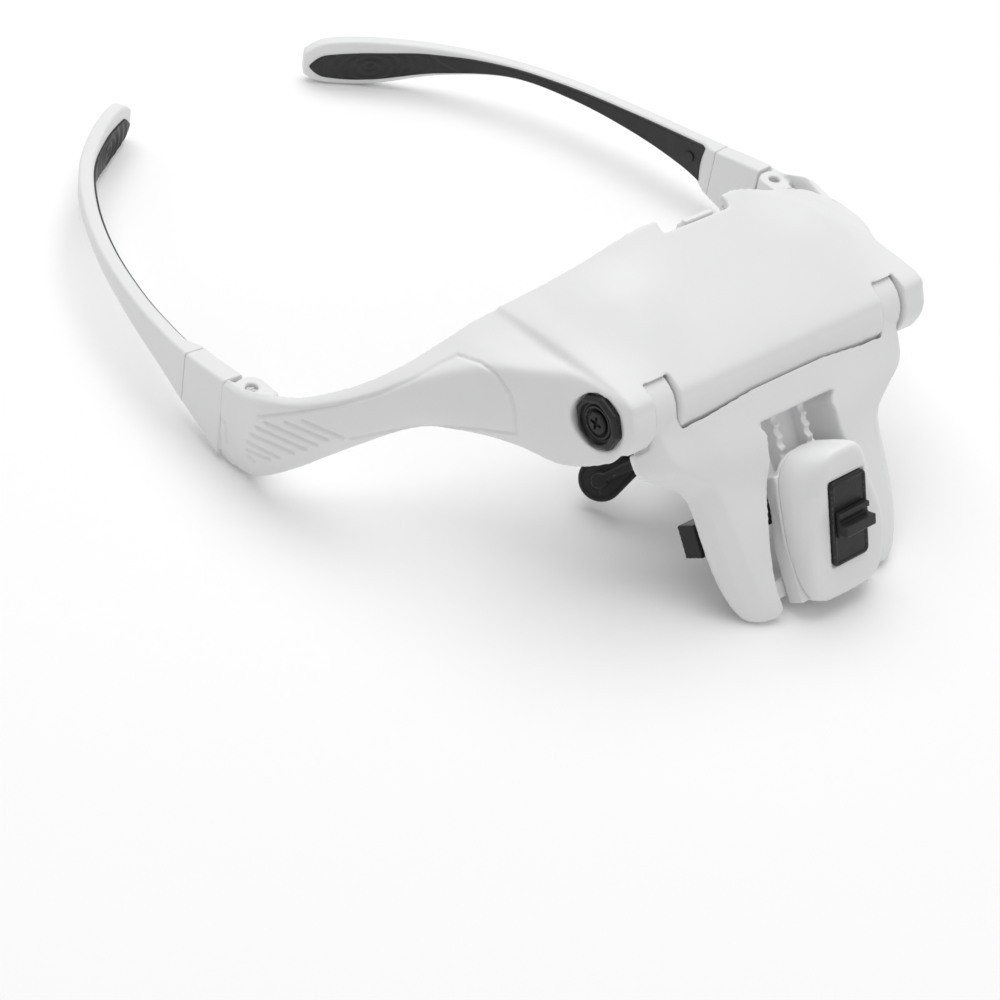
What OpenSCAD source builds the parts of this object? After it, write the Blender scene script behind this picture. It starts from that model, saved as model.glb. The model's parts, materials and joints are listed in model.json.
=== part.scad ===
/* [Visor] */
// Height of the flip axis above the surface that the legs and temple tips rest on
flip_z = 38.5; // [38:0.1:40]
// Distance of the flip axis in front of the origin
flip_front = 66.5; // [66:0.1:68]
// Radius of the roll and the ears round the flip axis
roll_r = 8.1; // [7.9:0.1:8.6]
// Half the length of the roll between its two slots
roll_half = 28; // [27:0.1:28.4]
// Width of the slot that each bracket knuckle sits in
slot_w = 6.5; // [6.3:0.1:6.8]
// Width of each ear outside its slot
ear_w = 6; // [5.7:0.1:6.2]
// Wall thickness of the visor
shell_t = 1.8; // [1.5:0.1:2.2]
// Wall thickness of the brow cover
cover_t = 1.6; // [1.2:0.1:2]
// Gap between the visor's inside and the brow cover
cover_gap = 0.25; // [0.2:0.05:0.4]
// Slope of the hood's top as drop over run
hood_slope = 0.448; // [0.44:0.002:0.456]
// Sideways fall of the hood's flanks as drop over run
flank_slope = 0.45; // [0.43:0.01:0.47]
// Half the width of the notch in the rear top edge
notch_half = 9; // [7:0.5:10]
// Depth of the notch in the rear top edge
notch_depth = 2.6; // [2:0.1:3.2]
// Width of the latch tab that shows in the notch
tab_w = 8; // [6:0.5:12]

/* [Bracket] */
// Forward lean of the bracket from the vertical, in degrees
lean = 37; // [36:0.5:38]
// Length of the bracket from the flip axis to the end of the legs
leg_reach = 48.8; // [48:0.1:49]
// Gap at each side of a knuckle in its slot
knuckle_gap = 0.35; // [0.3:0.05:0.5]
// Radius of the knuckles
knuckle_r = 7.6; // [7.2:0.1:7.7]
// Wall thickness of the shoulders and legs
leg_t = 2.6; // [2:0.1:3]
// Half the width of the window between the legs at its top
window_half = 9.5; // [9.2:0.1:10]
// Distance of the window's top edge from the flip axis
window_top = 11.3; // [10.8:0.1:12]
// Outer half width of the toothed rail
rail_half = 4.6; // [4.5:0.1:4.8]
// Wall thickness of the rail
rail_t = 1.6; // [1.5:0.1:1.7]
// Height of the rail's walls over its floor
rail_h = 4.6; // [4.2:0.1:4.7]
// Distance between the teeth of the rail
tooth_pitch = 2.3; // [2:0.1:2.6]
// Depth of the teeth
tooth_depth = 0.6; // [0.4:0.1:0.8]

/* [Pivots] */
// Radius of the pivot sleeve on each knob
sleeve_r = 3; // [2.6:0.1:3.4]
// Radial play of the sleeve in its ear
sleeve_play = 0.05; // [0.02:0.01:0.1]
// Size of the octagonal knob across its corners
knob_d = 11.2; // [10.8:0.1:11.6]
// How far the knob stands out from the ear
knob_h = 1.8; // [1.7:0.1:2.2]
// Radius of the pivot screw's shank
pivot_screw_r = 1.25; // [1:0.05:1.5]
// Radius of the pivot screw's head
pivot_head_r = 2.3; // [2.2:0.1:2.6]
// Thickness of the friction washers
washer_t = 0.35; // [0.3:0.05:0.4]

/* [Lamp] */
// Half the width of the lamp's front cover
lamp_half = 10.2; // [10:0.1:10.4]
// Distance of the top of the lamp's arch from the flip axis, along the bracket
lamp_top = 19.2; // [19.2:0.1:19.6]
// Distance of the lamp's lower end from the flip axis, along the bracket
lamp_end = 49; // [48.8:0.1:49.2]
// Height of the lamp's front face over the rail floor at the upper end of the switch
lamp_front = 15.4; // [15.2:0.1:15.8]
// Tilt of the lamp's front face against the bracket, in degrees
lamp_tilt = 16.5; // [16:0.5:17.5]
// Wall thickness of the lamp
lamp_t = 1.1; // [0.9:0.1:1.2]
// Height over the rail floor where the lamp's two shells meet
lamp_split = 6; // [5.9:0.1:6.1]
// How far the lamp slides up the rail
lamp_travel = 5; // [4:0.5:5]
// Gap between the lamp and the rail
slide_gap = 0.3; // [0.25:0.05:0.35]

/* [Switch] */
// Width of the black switch plate
plate_w = 9.8; // [9:0.1:10.4]
// Length of the black switch plate
plate_l = 17.6; // [17:0.1:18.4]
// Thickness of the switch plate
plate_t = 1.2; // [1:0.1:1.4]
// Length of the thumb ridge along the travel
ridge_l = 5.2; // [4.6:0.1:6]
// Height of the thumb ridge over the plate
ridge_h = 2.8; // [2.2:0.1:3]
// Travel of the switch to each side
switch_travel = 2; // [1.5:0.1:2.2]
// Diameter of a button cell
cell_d = 7.9; // [7.8:0.1:8]
// Thickness of a button cell
cell_t = 3.6; // [3.4:0.1:3.7]
// Diameter of an LED
led_d = 3; // [2.8:0.1:3.2]
// Half the distance between the two LEDs
led_half = 4; // [3.8:0.1:4.1]

/* [Lens carrier and nose pads] */
// Half the length of the lens carrier bar
carrier_half = 24; // [22:0.5:25]
// Height of the lens carrier bar along the bracket
carrier_h = 6.7; // [6:0.1:7.2]
// Thickness of the lens carrier bar
carrier_t = 4.6; // [4.4:0.1:5.4]
// Width of the socket for the lens tongue
socket_w = 14; // [12:0.5:16]
// Thickness of the socket for the lens tongue
socket_t = 2; // [1.6:0.1:2.2]
// Radius of a nose pad's round end
pad_r = 4.6; // [4.2:0.1:5]
// Distance from the middle to each nose pad's round end
pad_out = 20.5; // [19.5:0.1:21.5]
// Radius of the pin that a nose pad turns on
pad_pin_r = 0.8; // [0.7:0.05:1]
// Radial play of a nose pad on its pin
pad_play = 0.06; // [0.03:0.01:0.1]

/* [Temples] */
// Distance from the middle to each hinge screw
hinge_x = 73.3; // [72.8:0.1:73.4]
// Distance of the hinge screws in front of the origin
hinge_front = 6.3; // [6.1:0.1:6.5]
// Radius of the hinge screw's shank
hinge_screw_r = 1; // [0.8:0.05:1.1]
// Radial play of the hinge screw in the link
hinge_play = 0.06; // [0.03:0.01:0.1]
// Radius of the link's tongue round the hinge screw
tongue_r = 2; // [1.9:0.05:2.1]
// Radius of the visor's lugs round the hinge screw
lug_r = 3.4; // [3.1:0.1:3.5]
// Lower end of the link's tongue
tongue_low = 6.2; // [6:0.1:6.6]
// Upper end of the link's tongue
tongue_high = 14; // [13:0.1:14.2]
// Gap between the tongue and each lug
tongue_gap = 0.3; // [0.2:0.05:0.4]
// Length of the hinge link behind the seam with the wing
link_l = 13.2; // [12.5:0.1:14]
// Thickness of the temple without its lining
temple_t = 2.4; // [2.2:0.1:2.8]
// Thickness of the rubber lining
lining_t = 1.2; // [1:0.1:1.4]
// Height of the temple's rear end
tip_h = 11.5; // [10.5:0.5:12]

/* [Hidden] */

flip_y = -flip_front;
hinge_y = -hinge_front;
slot_out = roll_half + slot_w;
ear_out = slot_out + ear_w;
knob_x = ear_out + 0.2;
side_x = ear_out + 0.7;
cut = 0.5;

// General helpers: blending, smooth curves through points and lofted solids
function lerp(a, b, t) = a + (b - a) * t;
function soft_min(a, b, k) = let (h = max(0, k - abs(a - b)) / k) min(a, b) - h * h * k / 4;
function spline(a, b, c, d, t) =
    0.5 * (2 * b + (c - a) * t + (2 * a - 5 * b + 4 * c - d) * t * t + (3 * b - a - 3 * c + d) * t * t * t);
function along(p, u) =
    let (n = len(p) - 1, i = max(0, min(floor(u * n), n - 1)))
    spline(p[max(i - 1, 0)], p[i], p[i + 1], p[min(i + 2, n)], u * n - i);
function surface_point(net, u, v) = along([for (column = net) along(column, v)], u);
function unit(v) = v / norm(v);
function flipped(p) = [-p[0], p[1], p[2]];

// Closed layer between two grids of surface points
module layer(upper, lower) {
    n = len(upper);
    m = len(upper[0]);
    function at(side, i, j) = (side * n + i) * m + j;
    polyhedron(
        points = [for (g = [upper, lower]) for (column = g) for (p = column) p],
        faces = concat(
            [for (i = [0:n - 2]) for (j = [0:m - 2]) for (half = [0, 1])
                half == 0 ? [at(0, i, j), at(0, i + 1, j + 1), at(0, i, j + 1)]
                          : [at(0, i, j), at(0, i + 1, j), at(0, i + 1, j + 1)]],
            [for (i = [0:n - 2]) for (j = [0:m - 2]) for (half = [0, 1])
                half == 0 ? [at(1, i, j), at(1, i, j + 1), at(1, i + 1, j + 1)]
                          : [at(1, i, j), at(1, i + 1, j + 1), at(1, i + 1, j)]],
            [for (i = [0:n - 2]) for (half = [0, 1])
                half == 0 ? [at(0, i, 0), at(1, i + 1, 0), at(0, i + 1, 0)]
                          : [at(0, i, 0), at(1, i, 0), at(1, i + 1, 0)]],
            [for (i = [0:n - 2]) for (half = [0, 1])
                half == 0 ? [at(0, i, m - 1), at(0, i + 1, m - 1), at(1, i + 1, m - 1)]
                          : [at(0, i, m - 1), at(1, i + 1, m - 1), at(1, i, m - 1)]],
            [for (j = [0:m - 2]) for (half = [0, 1])
                half == 0 ? [at(0, 0, j), at(0, 0, j + 1), at(1, 0, j + 1)]
                          : [at(0, 0, j), at(1, 0, j + 1), at(1, 0, j)]],
            [for (j = [0:m - 2]) for (half = [0, 1])
                half == 0 ? [at(0, n - 1, j), at(1, n - 1, j + 1), at(0, n - 1, j + 1)]
                          : [at(0, n - 1, j), at(1, n - 1, j), at(1, n - 1, j + 1)]]));
}

// Solid skinned over closed rings of equal length, with flat fans at both ends
module loft(rings) {
    n = len(rings);
    m = len(rings[0]);
    function middle(ring) = [for (k = [0:2]) vsum([for (p = ring) p[k]]) / m];
    function vsum(v, i = 0) = i < len(v) ? v[i] + vsum(v, i + 1) : 0;
    first = n * m;
    polyhedron(
        points = concat([for (ring = rings) for (p = ring) p], [middle(rings[0]), middle(rings[n - 1])]),
        faces = concat(
            [for (i = [0:n - 2]) for (j = [0:m - 1]) for (half = [0, 1])
                let (k = (j + 1) % m)
                half == 0 ? [i * m + j, (i + 1) * m + j, (i + 1) * m + k]
                          : [i * m + j, (i + 1) * m + k, i * m + k]],
            [for (j = [0:m - 1]) [j, (j + 1) % m, first]],
            [for (j = [0:m - 1]) [(n - 1) * m + (j + 1) % m, (n - 1) * m + j, first + 1]]));
}

// The bracket's own frame: x sideways, -z down along the legs, -y out of the front
module on_bracket() {
    translate([0, flip_y, flip_z]) rotate([-lean, 0, 0]) children();
}

module both_sides() {
    children();
    mirror([1, 0, 0]) children();
}

// Visor surface. Columns run from the middle to the end of a wing, rows from the rear
// edge over the hood and down. The hood's columns end on the roll, the others on the wing.
brow_rear = -43;
brow_rise = 57.9;
flank_start = 14;
flank_rise = 57.3;
roll_rows = [25, 57, 90, 123.5];
function brow_y(x) = brow_rear + 52 * (1 - sqrt(1 - pow(x / 79.5, 2)));
function hood_z(x, y) =
    soft_min(flip_z - 38.5 + brow_rise + hood_slope * (y - brow_rear),
             flip_z - 38.5 + flank_rise - flank_slope * (x - flank_start) - 0.073 * (y + 40.5), 2);
function on_roll(x, a, r) = [x, flip_y - r * sin(a), flip_z + r * cos(a)];
function hood_column(x, r, d) =
    let (y0 = brow_y(x), crest = on_roll(x, roll_rows[0], r))
    concat([for (t = [0, 0.45])
                let (y = lerp(y0, crest[1], t))
                [x, y, hood_z(x, y) - t * (roll_r - r) - 1.08 * d]],
           [for (a = roll_rows) on_roll(x, a, r - d)]);
// Each station of the flank and wing: top edge, shoulder, lower edge, outward bulge
flank = [
    [[41.5, -35.4, 44.2], [side_x, -66.8, 45], [side_x, -70.6, 31.2], 0.2],
    [[44.9, -34.3, 42.5], [side_x + 1.7, -58.3, 44.0], [side_x + 1.6, -61.4, 25.0], 0.8],
    [[48.9, -33.4, 40.3], [48, -50.4, 42.2], [46.9, -52.4, 25.4], 1],
    [[53.5, -31.9, 37.2], [52.6, -43, 39.2], [51.4, -45.3, 25.3], 1],
    [[58.8, -29.9, 33.8], [59.1, -35.9, 34.4], [58, -37.4, 24], 0.8],
    [[65, -25.7, 29.3], [66.6, -28.8, 28.3], [65.3, -29.3, 17.7], 0.8],
    [[71.5, -19.3, 25], [73.5, -20.5, 23.6], [72, -20.3, 9.3], 0.8],
    [[75.1, -12.9, 23], [76.9, -13.9, 21.4], [75.2, -13.5, 4.8], 0.8],
    [[75.6, -6.9, 20.4], [77.1, -7.3, 18.7], [75.9, -7.2, 2.6], 0.5],
    [[75.8, -2.4, 19.6], [77.2, -2.4, 17.8], [76, -2.4, 2.6], 0.3]];
function outward(i) =
    let (a = flank[max(i - 1, 0)][1], b = flank[min(i + 1, len(flank) - 1)][1])
    unit([b[1] - a[1], a[0] - b[0], 0]);
// The surface at depth d under the outer one keeps the same columns and rows
function flank_column(i, d) =
    let (s = flank[i], out = outward(i))
    [s[0] - [0, 0, d],
     lerp(s[0], s[1], 0.5) - out * 0.4 * d + [0, 0, 0.4 * s[3] - 0.9 * d],
     s[1] - out * 0.85 * d - [0, 0, 0.5 * d],
     lerp(s[1], s[2], 0.33) + out * (s[3] - d),
     lerp(s[1], s[2], 0.67) + out * (s[3] - d),
     s[2] - out * d];
function half_net(d) = concat(
    [for (x = [0, 13, ear_out - 14.5 - 0.3 * d, ear_out - 4.5 - 0.7 * d]) hood_column(x, roll_r, d)],
    [hood_column(ear_out - 0.9 - d, roll_r, d), hood_column(ear_out - d, roll_r - 0.7, d)],
    [for (i = [0:len(flank) - 1]) flank_column(i, d)]);
function visor_net(d) =
    let (half = half_net(d))
    concat([for (i = [len(half) - 1:-1:1]) [for (p = half[i]) flipped(p)]], half);
visor_columns = 60;
visor_rows = 15;
function visor_grid(d) =
    let (net = visor_net(d))
    [for (i = [0:visor_columns]) [for (j = [0:visor_rows])
        surface_point(net, i / visor_columns, j / visor_rows)]];

module pivot_axis(from, to, r, sides = 64) {
    translate([from, flip_y, flip_z]) rotate([0, 90, 0]) cylinder(r = r, h = to - from, $fn = sides);
}

module visor_shell() color("white") {
    lug_top = flank[8][0][2] - 1.2;
    lug_bottom = flank[8][2][2] + 0.6;
    difference() {
        union() {
            layer(visor_grid(0), visor_grid(shell_t));
            both_sides() {
                pivot_axis(slot_out - 1, ear_out - 0.6, roll_r - 0.8);
                pivot_axis(roll_half - 2, roll_half + 1, roll_r - 0.8);
                hinge_lug(lug_bottom, tongue_low - tongue_gap);
                hinge_lug(tongue_high + tongue_gap, lug_top);
            }
            nose_boss();
        }
        both_sides() {
            pivot_axis(slot_out - cut, ear_out + 3, sleeve_r + sleeve_play);
            knuckle_slot();
            pivot_axis(knob_x - 0.1, knob_x + 6, knob_d / 2 + 0.4);
            translate([hinge_x, hinge_y, lug_bottom - cut])
                cylinder(r = hinge_screw_r, h = lug_top, $fn = 32);
            translate([hinge_x, hinge_y, lug_top - 1.1]) cylinder(r = 1.9, h = 3, $fn = 32);
            tongue_room();
        }
        brow_screw_places() cylinder(r = brow_screw_r, h = cover_t + cover_gap + screw_bite + 0.2, $fn = 24);
        translate([-notch_half, brow_rear - notch_depth, brow_rise - 5])
            cube([2 * notch_half, 8, 10]);
        nose_boss_holes();
    }
}

// Room for the link's tongue, cut into the inside of the wing
module tongue_room() {
    room = tongue_gap / 2;
    tall = tongue_high - tongue_low + 2 * room;
    translate([hinge_x, hinge_y, tongue_low - room]) cylinder(r = tongue_r + tongue_gap, h = tall, $fn = 48);
    translate([hinge_x - tongue_r, hinge_y, tongue_low - room])
        cube([2 * tongue_r + room, seam_y - hinge_y + 3, tall]);
}

module hinge_lug(from, to) {
    translate([hinge_x, hinge_y, from]) cylinder(r = lug_r, h = to - from, $fn = 48);
    translate([hinge_x - lug_r, hinge_y - 4.5, from]) cube([lug_r + 1.6, 4.5, to - from]);
}

// Slot for one knuckle, cut round the flip axis and open to the front and below.
// Its upper edge is where the bracket's shoulders stop when they are flipped up
slot_edge = 20;
module knuckle_slot() {
    pivot_axis(roll_half, slot_out, knuckle_r + 0.35);
    intersection() {
        pivot_axis(roll_half, slot_out, knuckle_r + 2);
        translate([0, flip_y, flip_z]) rotate([slot_edge, 0, 0]) translate([0, -12, -12]) cube([50, 12, 24]);
    }
    translate([roll_half, flip_y - 14, flip_z - 14]) cube([slot_w, 20, 14]);
}

// Block behind the roll that the nose bracket is screwed to
boss_w = 12;
boss_front = flip_y + roll_r - 2.2;
boss_rear = boss_front + 5.4;
boss_low = flip_z - 7;
// The block's top ends inside the hood's wall, which falls straight from its second row to the roll
function hood_fall(y) =
    let (crest = on_roll(0, roll_rows[0], roll_r), y1 = lerp(brow_rear, crest[1], 0.45))
    lerp(hood_z(0, y1), crest[2], (y1 - y) / (y1 - crest[1]));
boss_top = hood_fall((boss_front + boss_rear) / 2) - 1.2 * shell_t;
module nose_boss() {
    translate([-boss_w / 2, boss_front, boss_low]) cube([boss_w, boss_rear - boss_front, boss_top - boss_low]);
}
nose_screw_half = 3.4;
nose_screw_r = 0.9;
nose_screw_z = boss_low + 3.2;
module nose_boss_holes() {
    for (x = [-nose_screw_half, nose_screw_half])
        translate([x, boss_rear + cut, nose_screw_z]) rotate([90, 0, 0])
            cylinder(r = nose_screw_r, h = 4, $fn = 24);
}

// Second moulding: a layer under the rear edge of the hood that becomes the wings' inner wall
cover_columns = 46;
function cover_row(t) = let (s = abs(2 * t - 1))
    s < 0.4 ? [0.012, 0.2] : s > 0.68 ? [0.42, 0.96] :
    let (k = (s - 0.4) / 0.28) [lerp(0.012, 0.42, k), lerp(0.2, 0.96, k)];
cover_end = 0.9;
function cover_grid(d) =
    let (net = visor_net(d))
    [for (i = [0:cover_columns])
        let (u = lerp(1 - cover_end, cover_end, i / cover_columns), r = cover_row(u))
        [for (j = [0:5]) surface_point(net, u, lerp(r[0], r[1], j / 5))]];
module brow_cover() color("whitesmoke") {
    depth = shell_t + cover_gap;
    difference() {
        layer(cover_grid(depth), cover_grid(depth + cover_t));
        brow_screw_places() cylinder(r = brow_screw_r, h = 12, center = true, $fn = 24);
        translate([-notch_half, brow_rear - notch_depth, brow_rise - 12])
            cube([2 * notch_half, 8, 15]);
    }
    // Latch tab: a foot on the cover and a tongue that stands in the notch
    translate([-tab_w / 2 + 1, brow_rear - notch_depth - 2.2, brow_rise - 5.4]) cube([tab_w, 3.6, 1.5]);
    translate([-tab_w / 2 + 1, brow_rear - notch_depth + 0.3, brow_rise - 5.4]) cube([tab_w, 1.3, 4.4]);
}

brow_screw_r = 0.9;
screw_bite = 0.9;
brow_screw_u = [0.12, 0.36];
module brow_screw_places() {
    for (side = [0, 1], k = brow_screw_u) {
        u = side == 0 ? 0.5 + k : 0.5 - k;
        v = k < 0.2 ? 0.1 : 0.7;
        net = visor_net(shell_t + cover_gap + cover_t);
        p = surface_point(net, u, v);
        du = surface_point(net, u + 0.002, v) - surface_point(net, u - 0.002, v);
        dv = surface_point(net, u, v + 0.01) - surface_point(net, u, v - 0.01);
        n = unit(cross(du, dv));
        translate(p) rotate([0, acos(-n[2]), atan2(-n[1], -n[0])]) children();
    }
}
module brow_cover_screws() color("silver") {
    brow_screw_places() {
        translate([0, 0, -1.16]) cylinder(r = 1.6, h = 1, $fn = 24);
        translate([0, 0, -0.3]) cylinder(r = brow_screw_r - 0.05, h = cover_t + cover_gap + screw_bite + 0.3, $fn = 24);
    }
}

// Flip bracket. Each station: distance along the leg, outer, bevel and inner x, and the
// front face's height at each of the three. A wall runs back from the inner edge beside the rail
leg = [
    [4.5, 36.2, 33, 29, 0.5, 5.2, 6.2],
    [8.8, 36.4, 32.5, window_half + 5, 0.2, 5.4, 7],
    [13, 35.6, 30.5, window_half, 0, 5.4, 7.4],
    [16, 31.5, 27, window_half, 0, 5, 7.4],
    [19.5, 27, 23, window_half + 0.4, 0, 4.6, 6.9],
    [23.5, 25.6, 21.6, window_half + 2, 0, 4.5, 6.1],
    [30, 25.3, 20.8, window_half + 3.8, 0, 4.5, 5.9],
    [37, 24.6, 20, window_half + 5, 0, 4.3, 5.3],
    [43, 23, 18.6, window_half + 5.2, 0, 4, 4.7],
    [leg_reach - 1.6, 20.6, 17.2, window_half + 4.4, 0.1, 3.4, 4],
    [leg_reach, 18, 16.2, window_half + 5.2, 0.4, 2.2, 2.6]];
return_back = 2.4;
function leg_ring(s, u) =
    let (w = s[0], t = leg_t * min(1, 0.45 + (leg_reach - w) * 0.35), flat = t - s[6],
         back = u > 0.14 && u < 0.52 ? return_back : flat)
    [[s[1], -s[4], -w], [lerp(s[1], s[2], 0.35), -lerp(s[4], s[5], 0.55), -w], [s[2], -s[5], -w],
     [lerp(s[2], s[3], 0.5), -lerp(s[5], s[6], 0.62), -w], [s[3], -s[6], -w],
     [s[3], back, -w], [s[3] + 1.5, back, -w], [s[3] + 1.9, flat, -w],
     [lerp(s[2], s[3], 0.5), -lerp(s[5], s[6], 0.62) + t, -w],
     [s[2] - 0.8, -s[5] + t, -w], [s[1] - 2, -s[4] + t * 0.4, -w], [s[1] - 0.6, -s[4] + t * 0.7, -w]];
leg_steps = 22;
rail_low = 46;
rail_back = -1.9;
module flip_bracket() color("white") difference() {
    on_bracket() bracket_form();
    floor_cut();
}
// The legs and the temple tips end on one flat plane, which the object rests on
module floor_cut() {
    translate([-60, -120, -5]) cube([120, 240, 5]);
}
module bracket_form() difference() {
    union() {
        both_sides() {
            loft([for (i = [0:leg_steps]) leg_ring(along(leg, i / leg_steps), i / leg_steps)]);
            translate([roll_half + knuckle_gap, 0, 0]) rotate([0, 90, 0])
                cylinder(r = knuckle_r, h = slot_w - 2 * knuckle_gap, $fn = 64);
            translate([roll_half + knuckle_gap, -3.6, -9]) cube([slot_w - 2 * knuckle_gap, 6, 6]);
        }
        // Bar under the roll
        translate([-20, -7.2, -window_top]) cube([40, 4.7, 5.6]);
        rail();
        // Bridge that joins the rail to both legs behind the lamp
        translate([-17.5, -1.9, -rail_low]) cube([35, 1.9, 3.6]);
    }
    rotate([0, 90, 0]) cylinder(r = roll_r + 0.5, h = 2 * roll_half, center = true, $fn = 96);
    both_sides() translate([ear_out - 9, 0, 0]) rotate([0, 90, 0])
        cylinder(r = pivot_screw_r - 0.05, h = 30, center = true, $fn = 32);
    both_sides() translate([slot_out - knuckle_gap, 0, 0]) rotate([0, 90, 0])
        cylinder(r = roll_r + 0.5, h = 8, $fn = 96);
    carrier_screw_places() cylinder(r = carrier_screw_r, h = 2 * screw_reach + 0.4, center = true, $fn = 24);
}

module rail() {
    translate([-rail_half, rail_back, -rail_low]) cube([2 * rail_half, 1, rail_low - window_top + 2.4]);
    translate([-rail_half, -4.6, -window_top]) cube([2 * rail_half, 5.2, 2.4]);
    // Stop between the walls for the lamp's tongue at the end of its travel
    translate([-rail_half + 1, -4, -housing_top + lamp_travel + 0.4]) cube([2 * rail_half - 2, 3.4, 1]);
    teeth = floor((rail_low - window_top - 4) / tooth_pitch);
    both_sides() difference() {
        translate([rail_half - rail_t, -rail_h, -rail_low])
            cube([rail_t, rail_h + rail_back + 1, rail_low - window_top + 1]);
        for (k = [0:teeth - 1])
            translate([rail_half - rail_t, -rail_h, -window_top - 2 - k * tooth_pitch])
                cylinder(r = tooth_depth, h = tooth_pitch * 0.5, $fn = 8);
    }
}

module friction_washers() color("silver") {
    both_sides() difference() {
        pivot_axis(slot_out - washer_t, slot_out, knuckle_r - 1.4, 48);
        pivot_axis(slot_out - 1, slot_out + 1, sleeve_r + 0.1, 48);
    }
}

module pivot_knob() color("#222222") {
    difference() {
        union() {
            translate([knob_x, flip_y, flip_z]) rotate([0, 90, 0]) rotate([0, 0, 22.5])
                cylinder(d = knob_d, h = knob_h, $fn = 8);
            pivot_axis(slot_out - knuckle_gap, knob_x + cut, sleeve_r);
        }
        pivot_axis(knob_x + knob_h - 1.1, knob_x + knob_h + 1, knob_d * 0.36, 48);
        pivot_axis(slot_out - 2, knob_x + knob_h, pivot_screw_r);
    }
    difference() {
        pivot_axis(knob_x + knob_h - 1.1 - cut, knob_x + knob_h - 0.5, knob_d * 0.28, 48);
        pivot_axis(knob_x, knob_x + knob_h, pivot_head_r + 0.1, 48);
    }
}
module right_pivot_knob() mirror([1, 0, 0]) pivot_knob();
module left_pivot_knob() pivot_knob();

module pivot_screw() color("#333333") {
    seat = knob_x + knob_h - 1.1;
    difference() {
        union() {
            pivot_axis(roll_half + 1, seat + 0.3, pivot_screw_r - 0.05, 32);
            pivot_axis(seat, seat + 0.9, pivot_head_r, 32);
        }
        for (turn = [0, 90])
            translate([seat + 0.9, flip_y, flip_z]) rotate([turn, 0, 0]) cube([0.9, 0.6, 2.8], center = true);
    }
}
module right_pivot_screw() mirror([1, 0, 0]) pivot_screw();
module left_pivot_screw() pivot_screw();

// Lens carrier behind the legs, with a socket that is open below
carrier_top = 26.6;
carrier_y = 3.4;
carrier_screw_r = 1;
carrier_screw_half = 17.6;
carrier_seat = 1.75;
screw_reach = 3.6;
module carrier_screw_places() {
    for (x = [-carrier_screw_half, carrier_screw_half])
        translate([x, 0, -carrier_top - carrier_h / 2]) rotate([90, 0, 0]) children();
}
module lens_carrier() color("#1c1c1c") on_bracket() difference() {
    union() {
        translate([-carrier_half, carrier_y, -carrier_top - carrier_h])
            cube([2 * carrier_half, carrier_t, carrier_h]);
        carrier_screw_places() translate([0, 0, -carrier_y - cut])
            cylinder(r = 2, h = carrier_y + cut + carrier_seat, $fn = 32);
    }
    translate([-socket_w / 2, carrier_y + (carrier_t - socket_t) / 2, -carrier_top - carrier_h - cut])
        cube([socket_w, socket_t, carrier_h - 1.2 + cut]);
    carrier_screw_places() cylinder(r = carrier_screw_r, h = 30, center = true, $fn = 24);
}
module lens_carrier_screws() color("silver") on_bracket() {
    carrier_screw_places() {
        translate([0, 0, -carrier_y - carrier_t - 0.9]) cylinder(r = 1.8, h = 0.9, $fn = 24);
        translate([0, 0, -carrier_y - carrier_t - 0.2])
            cylinder(r = carrier_screw_r - 0.05, h = carrier_y + carrier_t + 0.2 + screw_reach, $fn = 24);
    }
}

// Lamp. Its outline is an arch above and a rounded end below; rings stack towards the front
function lamp_face(w) = lamp_front - tan(lamp_tilt) * (w - 25);
lamp_mid = (lamp_top + lamp_end) / 2;
lamp_long = (lamp_end - lamp_top) / 2;
lamp_points = 32;
function lamp_outline(a, inset) =
    let (c = cos(a), s = sin(a), p = s > 0 ? 0.62 : 0.7,
         x = sign(c) * pow(abs(c), 0.42) * (lamp_half - inset),
         w = lamp_mid - sign(s) * pow(abs(s), p) * (lamp_long - inset))
    [x, w];
function lamp_ring(inset, back, drop, part) =
    [for (k = [0:lamp_points - 1]) let (q = lamp_outline((k + 0.5) * 360 / lamp_points, inset))
        [q[0], -lerp(back, lamp_face(q[1]) - drop, part), -q[1]]];
module lamp_body(inset, back, drop) {
    loft([for (step = [[0, 0], [0.5, 0], [0.82, 0.45], [0.96, 1.4], [1, 2.8]])
        lamp_ring(inset + step[1], back, drop, step[0])]);
}
module at_face(w, lift) {
    translate([0, -lamp_face(w) - lift, -w]) rotate([lamp_tilt, 0, 0]) children();
}
plate_top = 25;
plate_mid = plate_top + plate_l / 2;
seat_depth = 0.5;
stem_l = 2.4;
slot_half = 2.4;
switch_slot = stem_l / 2 + switch_travel + 0.3;
lamp_screw_x = 7.6;
lamp_boss_r = 1.6;
lamp_head_r = 1.3;
lamp_screw_w = [31, 42.4];
lamp_screw_r = 0.75;
module lamp_screw_places() {
    for (x = [-lamp_screw_x, lamp_screw_x], w = lamp_screw_w)
        translate([x, 0, -w]) rotate([90, 0, 0]) children();
}
module lamp_front_cover() color("white") on_bracket() difference() {
    union() {
        difference() {
            lamp_body(0, lamp_split, 0);
            lamp_body(lamp_t, lamp_split - cut, lamp_t);
        }
        for (x = [-lamp_screw_x, lamp_screw_x], w = lamp_screw_w)
            translate([x, 0, -w]) rotate([90, 0, 0])
                translate([0, 0, lamp_split])
                    cylinder(r = lamp_boss_r, h = min(4.8, lamp_face(w) - lamp_split - 0.9), $fn = 32);
    }
    at_face(plate_mid, -seat_depth) plate_block(0.15, 3);
    at_face(plate_mid, 0) translate([-slot_half, -cut, -switch_slot])
        cube([2 * slot_half, 3, 2 * switch_slot]);
    lamp_screw_places() cylinder(r = lamp_screw_r, h = lamp_split + 2.2, $fn = 24);
    lamp_window(0.1, 3);
}
// Block of the switch plate's size, standing on the seat in the front face
module plate_block(grow, deep) {
    translate([-plate_w / 2 - grow, -deep, -plate_l / 2 - grow])
        cube([plate_w + 2 * grow, deep, plate_l + 2 * grow]);
}
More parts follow.
